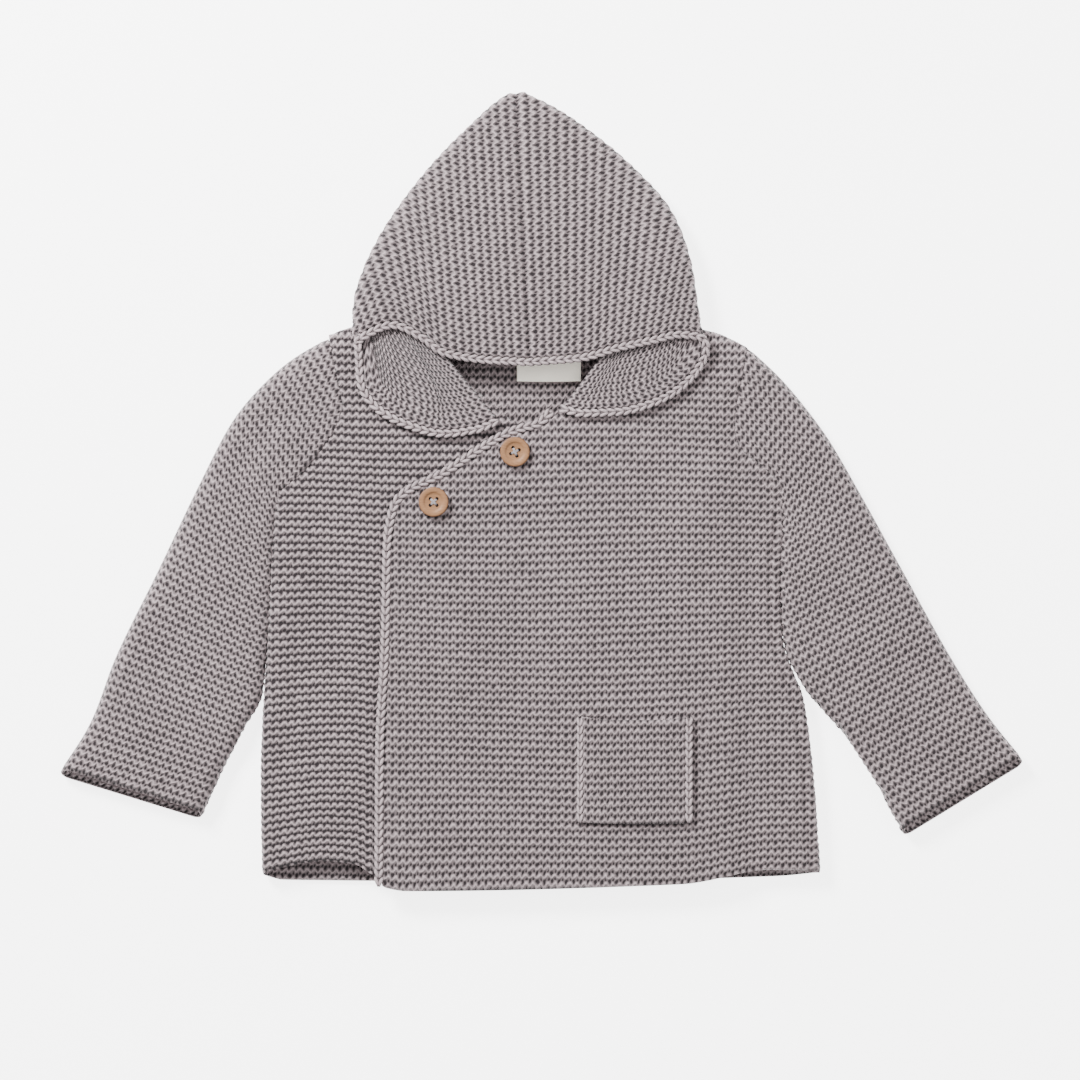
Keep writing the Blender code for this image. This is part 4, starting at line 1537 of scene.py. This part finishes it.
@dataclass
class Braid:
    """A chain of knitted links along an edge: pairs of slanting legs, each tucked under the next.

    Attributes:
        name: The piece's name.
        line: The middle of the braid.
        pitch: The length of a link.
        width: Its width, as a share of the full one.
        reach: How far a leg leans out from the middle.
        thick: The radius of the yarn.
        sides: Points round a leg.
        rings: Rings along a leg.
    """

    name: str
    line: Grid
    pitch: float
    width: float
    reach: float = 1.35
    thick: float = 0.98
    sides: int = 8
    rings: int = 6

    def build(self) -> bpy.types.Object:
        """Make the links and the core under them.

        Returns:
            One object of all the links.
        """
        run = lengths(self.line)
        count = max(2, round(run[-1] / self.pitch))
        pitch = run[-1] / count
        tangent = np.gradient(self.line, axis=0)
        tangent /= np.linalg.norm(tangent, axis=1)[:, None]
        points: list[Grid] = []
        marks: list[Grid] = []
        faces: list[tuple[int, ...]] = []
        high = np.sin(np.linspace(0, 2 * math.pi, self.sides, endpoint=False))
        t = np.linspace(0, 1, self.rings)
        total = 0
        for link in range(count):
            for side in (-1, 1):
                s = (link - 0.12 + t * 1.42) * pitch
                lean = mix(0.25, self.reach * 1.28, ease(t * 1.1))
                out = side * self.width * lean * (1 - 0.18 * t**4)
                lift = 0.55 * np.sin(np.pi * np.minimum(t * 1.15, 1.0))
                lift += -0.75 * t**2 - 0.25 * (1 - t) ** 2
                size = self.thick * (0.35 + 0.65 * self.width)
                size = size * np.sin(np.pi * (0.12 + 0.76 * t)) ** 0.7
                ring = self.tube(s, out, lift, size, run, tangent)
                points.append(ring.reshape(-1, 3))
                # Each point is marked with how far along its leg and how high round it it lies; the
                # braid's finish paints shade from these marks on the leg's ends and underside.
                marks.append(np.stack(np.meshgrid(t, high, indexing="ij"), axis=-1).reshape(-1, 2))
                faces += tube_faces(total, self.rings, self.sides)
                total += self.rings * self.sides
        steps = max(24, count * 2)
        s = np.linspace(0, run[-1], steps)
        edge = dome(np.minimum(s, run[-1] - s) / 1.5)
        size = 1.0 * (0.4 + 0.6 * edge)
        low = np.full(steps, -0.75)
        core = self.tube(s, np.zeros(steps), low, size, run, tangent, 1.7 * self.width)
        points.append(core.reshape(-1, 3))
        # The core is marked as lying low on a leg, so the finish paints it darker than the tops of the
        # legs: painted shade in the gaps between the links.
        marks.append(np.full((steps * self.sides, 2), (0.5, -0.1)))
        faces += tube_faces(total, steps, self.sides)
        return mesh_object(self.name, np.concatenate(points) * MM, faces, np.concatenate(marks))

    def tube(
        self, s: Grid, out: Grid, lift: Grid, size: Grid, run: Grid, tangent: Grid, flat: float = 1.0
    ) -> Grid:
        """Rings of a tube beside the braid's line.

        Args:
            s: How far along the braid each ring is.
            out: How far it is to the side.
            lift: How far it is above the line.
            size: Its radius.
            run: The distance along the line at its points.
            tangent: The line's direction at its points.
            flat: How much wider than high the tube is.

        Returns:
            The rings' points.
        """
        place = read(self.line, run, s)
        way = read(tangent, run, s)
        beyond = np.where(s < 0, s, np.maximum(s - run[-1], 0.0))
        place = place + way * beyond[:, None]
        side = np.stack([-way[:, 1], way[:, 0], np.zeros(len(s))], axis=1)
        side /= np.linalg.norm(side, axis=1)[:, None]
        up = np.cross(way, side)
        up *= np.sign(up[:, 2:3])
        centre = place + side * out[:, None] + up * lift[:, None]
        angle = np.linspace(0, 2 * math.pi, self.sides, endpoint=False)
        wide = side[:, None, :] * (np.cos(angle)[None, :, None] * flat)
        high = up[:, None, :] * np.sin(angle)[None, :, None]
        return centre[:, None, :] + (wide + high) * size[:, None, None]


def tube_faces(start: int, rings: int, sides: int) -> list[tuple[int, ...]]:
    """The polygons of a tube of rings of points, with both ends closed.

    Args:
        start: The number of its first point.
        rings: How many rings it has.
        sides: How many points each ring has.

    Returns:
        Corner numbers of each polygon.
    """
    found = []
    for i in range(rings - 1):
        for j in range(sides):
            a = start + i * sides + j
            b = start + i * sides + (j + 1) % sides
            found.append((a, a + sides, b + sides, b))
    found.append(tuple(start + j for j in range(sides)))
    found.append(tuple(start + (rings - 1) * sides + j for j in reversed(range(sides))))
    return found


# The sleeves.


@dataclass
class Sleeve:
    """A sleeve: one sheet wrapped round its outer fold and joined along its inner one.

    Attributes:
        name: The piece's name.
        side: -1 at negative X and 1 at positive X.
        folds: Its outer and inner folds.
        ridges: Garter ridges along its outer fold.
        under: The ridge that ends at the underarm; those before it end on the armhole seam.
        shoulder_angle: How far the ridges turn between the underarm and the shoulder.
        snug: How far the inner fold is pressed towards the side of the body.
        lap: How far the sleeve stays clear of the armhole's outline, less than 0 to close the seam.
        cuff_lip: How far the underside of the cuff shows past its top.
        cuff_start: The share of the sleeve at which that begins.
        shoulder_part: The share of the sleeve that flattens towards the shoulder.
        creases: The sleeve's creases.
    """

    name: str
    side: int
    folds: Sequence[Fold]
    yarn: bpy.types.Material
    ridges: int = 64
    under: int = 17
    shoulder_angle: float = 0.14
    snug: float = 2.5
    lap: float = -0.35
    cuff_lip: float = 4.5
    cuff_start: float = 0.8
    shoulder_part: float = 0.25
    creases: tuple[Crease, ...] = ()

    def chords(self, k: Grid) -> tuple[Grid, Grid, Grid]:
        """Where each ridge starts, which way it runs and how far across it reaches.

        Args:
            k: Ridges along the sleeve, from the shoulder.

        Returns:
            Starts on the outer fold, directions and widths.
        """
        outer = through([(f.outer_x, f.outer_y) for f in self.folds], FOLD_POINTS)
        pressed = [(f.inner_x - self.side * self.snug, f.inner_y) for f in self.folds]
        inner = through(pressed, FOLD_POINTS)
        share = np.linspace(0, 1, FOLD_POINTS)
        start = read(outer, share, k / self.ridges)
        end = read(inner, share, np.clip((k - self.under) / (self.ridges - self.under), 0, 1))
        way = end - start
        width = np.linalg.norm(way, axis=1)
        angle = np.unwrap(np.arctan2(way[:, 1], self.side * -way[:, 0]))
        at_under = np.interp(self.under, k, angle)
        early = at_under - self.shoulder_angle * (self.under - k) / self.under
        angle = np.where(k < self.under, early, angle)
        way = np.stack([-self.side * np.cos(angle), np.sin(angle)], axis=1)
        return start, way, width

    def reach(self, k: Grid, start: Grid, way: Grid, width: Grid) -> Grid:
        """How far across each ridge goes before the armhole seam or the inner fold ends it.

        Args:
            k: Ridges along the sleeve.
            start: Where each ridge starts.
            way: Which way it runs.
            width: How far it is across the flattened sleeve.

        Returns:
            How far round the sleeve each ridge goes from its outer fold.
        """
        c = np.arange(0, WIDEST, REACH_STEP)
        points = start[:, None, :] + way[:, None, :] * c[None, :, None]
        clear = self.side * (points[..., 0] - side_outline(points[..., 1], self.side)) > self.lap
        stop = np.where(clear.all(axis=1), c[-1], c[np.argmin(clear, axis=1)])
        rolled = stop - EDGE + FOLD_RADIUS * math.pi / 2
        folded = width - 2 * EDGE + FOLD_RADIUS * math.pi - SEAM_HALF
        return np.where(k < self.under, np.minimum(rolled, folded + 30), folded)

    def sheet(self) -> KnitSheet:
        """The sleeve's sheet.

        Returns:
            The sheet.
        """
        rows = self.ridges * FINE + 1
        k = np.linspace(0, self.ridges, rows)
        start, way, width = self.chords(k)
        reach = self.reach(k, start, way, width)
        step = STITCH / FINE
        half_columns = FINE * math.ceil((reach.max() + step) / STITCH)
        t = np.arange(-half_columns, half_columns + 1) * step
        t_grid, k_grid = np.meshgrid(t, k)
        limit = reach[:, None]
        held = np.clip(t_grid, -limit, limit)
        centre_t = np.abs((t_grid[:-1, :-1] + t_grid[1:, 1:]) / 2)
        centre_limit = (limit[:-1] + limit[1:]) / 2
        kept = centre_t < centre_limit + 0.25 * step
        middle = self.place(held, k_grid, start, way, width)
        stitches = np.stack([t_grid / STITCH, k_grid + 0.37], axis=-1)
        return KnitSheet(self.name, middle, kept, stitches, -self.side)

    def place(self, t: Grid, k: Grid, start: Grid, way: Grid, width: Grid) -> Grid:
        """The middle of the sleeve's wall.

        Args:
            t: Places round the sleeve from its outer fold, positive on top.
            k: Ridges along it.
            start: Where each ridge starts.
            way: Which way each ridge runs.
            width: How far across each ridge reaches.

        Returns:
            Points of the middle.
        """
        size = np.abs(t)
        layer = np.where(t < 0, -1.0, 1.0)
        quarter = FOLD_RADIUS * math.pi / 2
        c = size - quarter + EDGE
        z = FOLD_MID + layer * FOLD_RADIUS
        on_outer = size < quarter
        c = np.where(on_outer, EDGE - FOLD_RADIUS * np.cos(size / FOLD_RADIUS), c)
        z = np.where(on_outer, FOLD_MID + layer * FOLD_RADIUS * np.sin(size / FOLD_RADIUS), z)
        flat_end = width[:, None] - EDGE
        over = np.clip(c - flat_end, 0, quarter)
        folding = ease((k - self.under) / 3.0) * (over > 0)
        c = mix(c, np.minimum(c, flat_end) + FOLD_RADIUS * np.sin(over / FOLD_RADIUS), folding)
        z = mix(z, FOLD_MID + layer * FOLD_RADIUS * np.cos(over / FOLD_RADIUS), folding)
        share = k / self.ridges
        squash = mix(1.0, dome((c + WALL) / SHOULDER_FALL), 1 - ease(share / self.shoulder_part))
        lift = mix(SHOULDER_MID - LOW_MID, 2 * FOLD_RADIUS, squash) / (2 * FOLD_RADIUS)
        z = LOW_MID + (z - LOW_MID) * lift
        plan = start[:, None, :] + way[:, None, :] * c[..., None]
        below = (FRONT_MID - z) / (2 * FOLD_RADIUS)
        out = np.stack([way[:, 1], -way[:, 0]], axis=1) * -self.side
        lip = self.cuff_lip * ease((share - self.cuff_start) / (1 - self.cuff_start)) * below
        plan = plan + out[:, None, :] * lip[..., None]
        rise = lifted(self.creases, plan[..., 0], plan[..., 1]) * (1 - below)
        return np.concatenate([plan, (z + rise)[..., None]], axis=-1)

    def make(self, node: str) -> None:
        """Build the sleeve.

        Args:
            node: The node that it stands for.
        """
        sheet = self.sheet()
        piece = sheet.build()
        settle(piece, node, self.yarn)


# The hood.


@dataclass
class Hood:
    """The pointed hood: ribs of knitting from its face edge over its top and round underneath.

    Attributes:
        yarn: The knitted yarn.
        braid: The yarn of the band round the face.
        ridges: Garter ridges on each half.
        seam: The half width and the depth of the groove at the centre seam.
        bead: The half width and the height of the raised ridge beside it.
        bead_away: How far that ridge is from the seam.
        lobe_top: The height up the garment below which the inside shows.
    """

    yarn: bpy.types.Material
    braid: bpy.types.Material
    ridges: int = 48
    seam: Place = Place(1.5, 1.5)
    bead: Place = Place(1.6, 0.5)
    bead_away: float = 3.4
    lobe_top: float = 112.0

    def low(self, x: Grid, y: Grid, over: Grid) -> Grid:
        """The middle of the lower sheet: on the surface, and up over the neck and the fronts.

        Args:
            x: Places across the garment.
            y: Places up the garment.
            over: The middle of the front underneath.

        Returns:
            The middle of the sheet.
        """
        past = y - along(TOP, "x", "y", x)
        on_front = over + PILE + HOOD_CLEAR
        from_middle = np.abs(x - HOOD_MIDDLE)
        edge = mix(SHOULDER_MID - NECK_DROP, on_front, ease((from_middle - NECK_FLAT) / NECK_FLAT))
        behind = mix(edge, LOW_MID, ease((past - HOOD_CLEAR) / HOOD_FALL))
        return np.where(past > -3 * NECK_LAP, behind, np.maximum(on_front, edge))

    def level(self, y: Grid, name: str) -> Grid:
        """A column of the hood's profile at heights y."""
        return along(HOOD_PROFILE, "y", name, y)

    def fold_side(self, y: Grid, name: str) -> Grid:
        """The middle of the wall at a side fold of the hood, for heights y."""
        return self.level(y, name) + (FOLD_INSET if name == "left" else -FOLD_INSET)

    def round_up(self, x: Grid, y: Grid, share: Grid | float = 1.0) -> Grid:
        """The rounding of a sheet towards the side folds, 1 in the middle and 0 at the folds.

        Args:
            x: Places across the garment.
            y: Places up the garment.
            share: How much of the rounding is wanted.

        Returns:
            The rounding.
        """
        left = HOOD_MIDDLE - self.fold_side(y, "left")
        right = self.fold_side(y, "right") - HOOD_MIDDLE
        half = np.where(x < HOOD_MIDDLE, left, right)
        roll = np.clip(np.abs(x - HOOD_MIDDLE) / np.maximum(half, 1.0), 0, 1) * share
        return (1 - roll**HOOD_FLATNESS) ** (1 / HOOD_FLATNESS)

    def under(self, x: Grid, y: Grid, side: int) -> Grid:
        """The middle of the lower sheet, rolled up towards its side folds.

        Args:
            x: Places across the garment.
            y: Places up the garment.
            side: -1 at negative X and 1 at positive X.

        Returns:
            The middle of the sheet.
        """
        over = FRONT_MID + (lap_lift(x, y) if side > 0 else 0.0)
        low = self.low(x, y, over)
        fold = self.level(y, "fold")
        blend = ease((y - LOBE_BLEND[0]) / LOBE_BLEND[1])
        return fold + (low - fold) * self.round_up(x, y, blend)

    def half(self, side: int, face: Sequence[Place], ribs: int) -> list[tuple[Grid, Grid]]:
        """Half of the hood.

        Args:
            side: -1 at negative X and 1 at positive X.
            face: The face edge on that side.
            ribs: How many ribs there are.

        Returns:
            For each rib, the place of its braid and the points of its middle.
        """
        edge = through(face, ribs)
        turn = int(np.argmax(edge[:, 0] * side))
        down = np.linspace(PEAK[1], edge[turn, 1], OUTLINE_POINTS)
        name = "left" if side < 0 else "right"
        outline = np.stack([self.fold_side(down, name), down], axis=1)
        outline[0] = PEAK
        run = lengths(outline)
        neck = NECK_LEFT if side < 0 else NECK_RIGHT
        tangent = np.gradient(edge, axis=0)
        tangent /= np.linalg.norm(tangent, axis=1)[:, None]
        dense = np.linspace(0, 1, RIB_POINTS)[:, None]
        found = []
        for i, start in enumerate(edge):
            share = i / (ribs - 1)
            back = np.array([HOOD_MIDDLE + side * 0.05, mix(PEAK[1], BACK_NECK - NECK_LAP, share)])
            if i < turn:
                u = i / turn
                at = run[-1] * (0.8 * u + 0.2 * u**3)
                fold = read(outline, run, np.array(at))
                step = self.band_step(fold - start, tangent[i])
                upper = mix(start + step, fold, np.sin(dense * math.pi / 2))
                lower = mix(fold, back, 1 - np.cos(dense[1:] * math.pi / 2))
            else:
                u = (i - turn) / (ribs - 1 - turn)
                shoulder = np.array([self.fold_side(ROLL_END, name) - side * ROLL_IN, ROLL_END])
                corner = mix(shoulder, np.array([neck.x + side, neck.y + 2.0]), u)
                square = np.array([-tangent[i][1], tangent[i][0]]) * -side
                way = mix(np.array([-side * ROLL_LEAN, 1.0]), square, ease(4 * u))
                seam = corner - start
                way = mix(way, seam / np.linalg.norm(seam), ease(2.5 * u - 1.5))
                step = self.band_step(way, tangent[i])
                upper = through([start + step, start + step + LOBE_REACH * way, corner], RIB_POINTS)
                lower = mix(corner, back, dense[1:])
                chord = mix(neck.y + 2.0, BACK_NECK - NECK_LAP, dense[1:, 0])
                sag = along(TOP, "x", "y", lower[:, 0]) - NECK_LAP - chord
                lower[:, 1] += sag * ease(u) * ease(dense[1:, 0] * 5)
            plan = np.vstack([start + step * (BRAID_HALF / BRAID_BAND), upper, lower])
            x, y = plan.T
            z = self.under(x, y, side)
            if i < turn:
                fold_z = self.level(y, "fold")
                top_z = fold_z + (self.level(y, "top") - fold_z) * self.round_up(x, y)
                z[: len(upper) + 1] = top_z[: len(upper) + 1]
            found.append((np.array([x[0], y[0], z[0]]), np.column_stack([x, y, z])[1:]))
        return found

    def band_step(self, way: Grid, tangent: Grid) -> Grid:
        """The step inwards from the face edge that clears its braid.

        Args:
            way: The direction of a rib.
            tangent: The direction of the face edge.

        Returns:
            The step.
        """
        way = way / np.linalg.norm(way)
        across = abs(way[0] * tangent[1] - way[1] * tangent[0])
        return way * BRAID_BAND / max(across, LEAST_SLANT)

    def make(self) -> None:
        """Build the hood and its braid."""
        ribs = self.ridges * FINE + 1
        left = self.half(-1, LEFT_FACE, ribs)
        right = self.half(1, RIGHT_FACE, ribs)
        both = left[::-1] + right[1:]
        runs = [lengths(points) for _, points in both]
        reach = np.array([run[-1] for run in runs])
        step = STITCH / FINE
        columns = FINE * math.ceil((reach.max() + step) / STITCH)
        a = np.arange(columns + 1) * step
        lines = [line for _, line in both]
        middle = np.stack([read(line, run, np.minimum(a, run[-1])) for line, run in zip(lines, runs)])
        limit = (reach[:-1] + reach[1:])[:, None] / 2
        kept = (a[:-1] + 0.1 * step)[None, :] < limit
        ridge = np.arange(len(both)) / FINE
        a_grid, ridge_grid = np.meshgrid(a / STITCH, ridge)
        sheet = KnitSheet("hood_knit", middle, kept, np.stack([a_grid, ridge_grid], axis=-1), -1)
        lobes = middle[:-1, :-1, 1] < self.lobe_top
        sheet.shown = whole_stitches(lobes).any(axis=(1, 3))
        away = np.abs(ridge_grid - self.ridges) * RIDGE
        sheet.groove = self.seam.y * np.exp(-((away / self.seam.x) ** 2))
        sheet.groove -= self.bead.y * np.exp(-(((away - self.bead_away) / self.bead.x) ** 2))
        piece = sheet.build()
        settle(piece, "hood", self.yarn)
        self.edge_braid(both)

    def edge_braid(self, both: list[tuple[Grid, Grid]]) -> None:
        """The braid along the hood's face edge.

        Args:
            both: The place of the braid and the middle of each rib.
        """
        line = np.array([place for place, _ in both])
        first = np.array([points[0, 2] for _, points in both])
        high = np.maximum(line[:, 2], first)
        wide = 5
        padded = np.pad(high, wide, mode="edge")
        high = np.max([padded[i : i + len(high)] for i in range(2 * wide + 1)], axis=0)
        kernel = np.ones(9) / 9
        high = np.convolve(np.pad(high, 4, mode="edge"), kernel, mode="valid")
        line[:, 2] = high + 0.3
        line = through(line[::3], 320)
        piece = Braid("hood_edge_braid", line, LINK, 1.0).build()
        settle(piece, "hood_edge_trim", self.braid)


# Buttons, label and studio.


@dataclass
class Button:
    """A turned wooden button with a dished face, four holes and the thread that holds it.

    Attributes:
        name: The piece's name.
        centre: Its middle.
        turn: How far it is turned.
        thread: The finish of its thread.
        radius, height: Its size.
        dish_radius, dish_depth: The size of the dish in its face.
        rim: How far its rims are rounded.
        hole_radius, spacing: The size of its holes and how far apart they are.
        segments, hole_segments: How many sides the disc and the holes have.
        strand, strand_away: The thread's radius and how far it lies from the middle of its cross.
    """

    name: str
    centre: Place
    turn: float
    thread: bpy.types.Material
    radius: float = 8.0
    height: float = 3.2
    dish_radius: float = 5.7
    dish_depth: float = 0.8
    rim: float = 0.7
    hole_radius: float = 0.95
    spacing: float = 3.5
    segments: int = 56
    hole_segments: int = 20
    strand: float = 0.34
    strand_away: float = 0.28

    def turned(self, base: float) -> bpy.types.Object:
        """Turn the disc: a cylinder with rounded rims and a dished face.

        Args:
            base: The height of its underside.

        Returns:
            The disc.
        """
        bpy.ops.object.select_all(action="DESELECT")
        bpy.ops.mesh.primitive_cylinder_add(
            vertices=self.segments,
            radius=self.radius * MM,
            depth=self.height * MM,
            location=(self.centre.x * MM, self.centre.y * MM, (base + self.height / 2) * MM),
        )
        piece = bpy.context.active_object
        piece.name = self.name
        bpy.ops.object.transform_apply(location=True, rotation=True, scale=True)
        bpy.ops.object.mode_set(mode="EDIT")
        bpy.ops.mesh.select_mode(type="EDGE")
        bpy.ops.mesh.select_all(action="DESELECT")
        bpy.ops.mesh.edges_select_sharp(sharpness=math.radians(60))
        bpy.ops.mesh.bevel(offset=self.rim * MM, segments=4, affect="EDGES")
        bpy.ops.mesh.select_mode(type="FACE")
        bpy.ops.mesh.select_all(action="DESELECT")
        bpy.ops.object.mode_set(mode="OBJECT")
        top = max(piece.data.polygons, key=lambda p: p.area * p.normal.z)
        top.select = True
        bpy.ops.object.mode_set(mode="EDIT")
        bpy.ops.mesh.inset(thickness=(self.radius - self.rim - self.dish_radius) * MM, depth=0.0)
        for wide, share in ((0.45, 0.3), (0.45, 0.5), (0.4, 0.2)):
            bpy.ops.mesh.inset(thickness=wide * MM, depth=-self.dish_depth * share * MM)
        bpy.ops.object.mode_set(mode="OBJECT")
        return piece

    def make(self, node: str) -> None:
        """Build the button and its thread.

        Args:
            node: The node that it stands for.
        """
        base = float(over_height(np.array(self.centre.x), np.array(self.centre.y))) + WALL / 2 + GAP
        piece = self.turned(base)
        for way in self.ways():
            self.drill(piece, way, base)
        bpy.ops.object.shade_smooth_by_angle(angle=math.radians(35))
        centre = (self.centre.x * MM, self.centre.y * MM)
        settle(piece, node, Wood(f"{self.name}_wood", centre=centre, turn=self.turn).build())
        self.sew(base)

    def ways(self, count: int = 4) -> list[Grid]:
        """The ways from the middle to the first of the holes."""
        angles = [self.turn + math.pi / 4 + i * math.pi / 2 for i in range(count)]
        return [np.array([math.cos(a), math.sin(a), 0.0]) for a in angles]

    def drill(self, piece: bpy.types.Object, way: Grid, base: float) -> None:
        """Drill one hole through the disc.

        Args:
            piece: The disc.
            way: The way to the hole from the middle.
            base: The height of the underside.
        """
        bpy.ops.object.select_all(action="DESELECT")
        x, y, _ = way * (self.spacing / math.sqrt(2))
        bpy.ops.mesh.primitive_cylinder_add(
            vertices=self.hole_segments,
            radius=self.hole_radius * MM,
            depth=4 * self.height * MM,
            location=((self.centre.x + x) * MM, (self.centre.y + y) * MM, base * MM),
        )
        tool = bpy.context.active_object
        cut = piece.modifiers.new("Hole", "BOOLEAN")
        cut.object = tool
        cut.solver = "EXACT"
        bpy.ops.object.select_all(action="DESELECT")
        bpy.context.view_layer.objects.active = piece
        piece.select_set(True)
        bpy.ops.object.modifier_apply(modifier="Hole")
        bpy.data.objects.remove(tool, do_unlink=True)

    def sew(self, base: float) -> None:
        """The thread that crosses between the holes.

        Args:
            base: The height of the button's underside.
        """
        points, faces, total = [], [], 0
        sides = 8
        up = np.array([0.0, 0.0, 1.0])
        t = np.linspace(-1, 1, 13)
        angle = np.linspace(0, 2 * math.pi, sides, endpoint=False)[None, :, None]
        face = self.height - self.dish_depth
        reach = t * self.spacing / math.sqrt(2) * 0.98
        for i, way in enumerate(self.ways(2)):
            side = np.array([-way[1], way[0], 0.0])
            for offset in (-self.strand_away, self.strand_away):
                centre = way[None, :] * reach[:, None] + side * offset
                centre[:, 2] += face + 0.25 + 0.35 * i - 2.6 * np.abs(t) ** 6
                ring = centre[:, None, :] + self.strand * (side * np.cos(angle) + up * np.sin(angle))
                points.append(ring.reshape(-1, 3))
                faces += tube_faces(total, len(t), sides)
                total += len(t) * sides
        everything = np.concatenate(points) + [self.centre.x, self.centre.y, base]
        settle(mesh_object(f"{self.name}_thread", everything * MM, faces), "", self.thread)


@dataclass
class Label:
    """The blank woven label at the back neck."""

    finish: bpy.types.Material
    size: tuple[float, float] = (34.6, 16.6)
    middle: Place = Place(4.3, 67.3)
    wall: float = 0.6
    curl: float = 1.1

    def make(self) -> None:
        """Build the label, a little curled along its free edge."""
        columns, rows = 40, 20
        x, y = np.meshgrid(
            self.middle.x + self.size[0] * np.linspace(-0.5, 0.5, columns + 1),
            self.middle.y + self.size[1] * np.linspace(-0.5, 0.5, rows + 1),
        )
        share = (y - y.min()) / self.size[1]
        z = WALL + GAP + self.wall / 2 + self.curl * (1 - ease(share / 0.6))
        z += 0.25 * np.sin((x - self.middle.x) / 6.0) * (1 - share)
        points = np.stack([x, y + 1.1 * ((x - self.middle.x) / self.size[0]) ** 2, z], axis=-1)
        half = np.array([0, 0, self.wall / 2])
        flat = np.concatenate([(points + half).reshape(-1, 3), (points - half).reshape(-1, 3)]) * MM
        sheet = KnitSheet("label_ribbon", points, np.ones((rows, columns), bool), points[..., :2])
        plain = np.zeros((rows // FINE, columns // FINE), bool)
        count = x.size
        faces = sheet.face_list(plain, 0, False) + sheet.face_list(plain, count, True)
        faces += sheet.rim_list(count)
        piece = mesh_object("label_ribbon", flat, faces)
        settle(piece, "label", self.finish)


@dataclass
class Studio:
    """A pale floor, soft light from the upper left and the camera straight above.

    Attributes:
        aim: The place under the camera, in metres.
        frame_width: The width that the camera sees at the garment.
        lens, sensor: The camera's lens and sensor, in millimetres.
        subject: The height of the garment's middle.
        floor_glow: How bright the floor is by itself.
        sky: How bright the air around is.
    """

    aim: tuple[float, float] = (-0.0005, -0.0267)
    frame_width: float = 0.5832
    lens: float = 120.0
    sensor: float = 36.0
    subject: float = 0.01
    floor_glow: float = 4.0
    sky: float = 0.8

    def make(self) -> None:
        """Build the floor, the lights and the camera."""
        bpy.ops.object.select_all(action="DESELECT")
        bpy.ops.mesh.primitive_plane_add(size=6.0, location=(0.0, 0.0, -0.0004))
        floor = bpy.context.active_object
        floor.name = "studio_floor"
        nodes = Nodes("floor_paint")
        paint = nodes.finish(
            None,
            0.0,
            Base_Color=(0.97, 0.97, 0.97),
            Roughness=0.9,
            Specular_IOR_Level=0.1,
            Emission_Color=(1.0, 1.0, 1.0),
            Emission_Strength=self.floor_glow,
        )
        floor.data.materials.append(paint)
        self.light("key_light", (-0.95, 1.05, 1.0), 0.5, 88.0)
        self.light("fill_light", (1.2, 0.3, 1.3), 1.2, 16.0)
        self.camera()
        world = bpy.data.worlds.new("studio_air")
        bpy.context.scene.world = world
        world.use_nodes = True
        sky = world.node_tree.nodes["Background"]
        sky.inputs["Color"].default_value = (1.0, 1.0, 1.0, 1.0)
        sky.inputs["Strength"].default_value = self.sky

    def light(self, name: str, place: tuple[float, float, float], size: float, power: float) -> None:
        """A soft square light aimed at the garment.

        Args:
            name: The lamp's name.
            place: Where it is, in metres.
            size: The side of its square.
            power: Its power, in watts.
        """
        data = bpy.data.lights.new(name, "AREA")
        data.size = size
        data.energy = power
        lamp = bpy.data.objects.new(name, data)
        lamp.location = place
        away = np.array(place)
        lamp.rotation_euler = (
            math.atan2(math.hypot(away[0], away[1]), away[2]),
            0.0,
            math.atan2(away[1], away[0]) + math.pi / 2,
        )
        bpy.context.scene.collection.objects.link(lamp)

    def camera(self) -> None:
        """The camera, straight above the garment."""
        data = bpy.data.cameras.new("camera")
        data.lens = self.lens
        data.sensor_width = self.sensor
        made = bpy.data.objects.new("camera", data)
        away = self.frame_width * self.lens / self.sensor
        made.location = (self.aim[0], self.aim[1], away + self.subject)
        bpy.context.scene.collection.objects.link(made)
        bpy.context.scene.camera = made


def main() -> None:
    """Build the cardigan's looks in order."""
    logging.basicConfig(level=logging.INFO, format="%(name)s: %(message)s")
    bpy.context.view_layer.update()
    yarn = Yarn("garter_yarn").build()
    # A copy of the yarn with deeper grooves, painted darker as painted shade, for the right front.
    pressed = Yarn("groove_shaded_garter_yarn", groove=DEEP_SHADED_GROOVE).build()
    braid = Yarn("braid_yarn", stitched=False, bump=0.0004).build()
    Studio().make()
    Body(yarn, pressed, braid).make()
    right = Sleeve("sleeve_right_knit", -1, SLEEVE_AT_LEFT, yarn, creases=RIGHT_SLEEVE_CREASES)
    right.make("sleeve_right")
    left = Sleeve(
        "sleeve_left_knit", 1, SLEEVE_AT_RIGHT, yarn, under=16, snug=3.5, creases=LEFT_SLEEVE_CREASES
    )
    left.make("sleeve_left")
    Hood(yarn, braid).make()
    thread = Thread("button_thread").build()
    Button("upper_button", Place(-14.0, 20.8), -0.35, thread).make("button_upper")
    Button("lower_button", Place(-57.8, -6.2), 0.0, thread).make("button_lower")
    Label(Ribbon("cream_ribbon").build()).make()


if __name__ == "__main__":
    main()
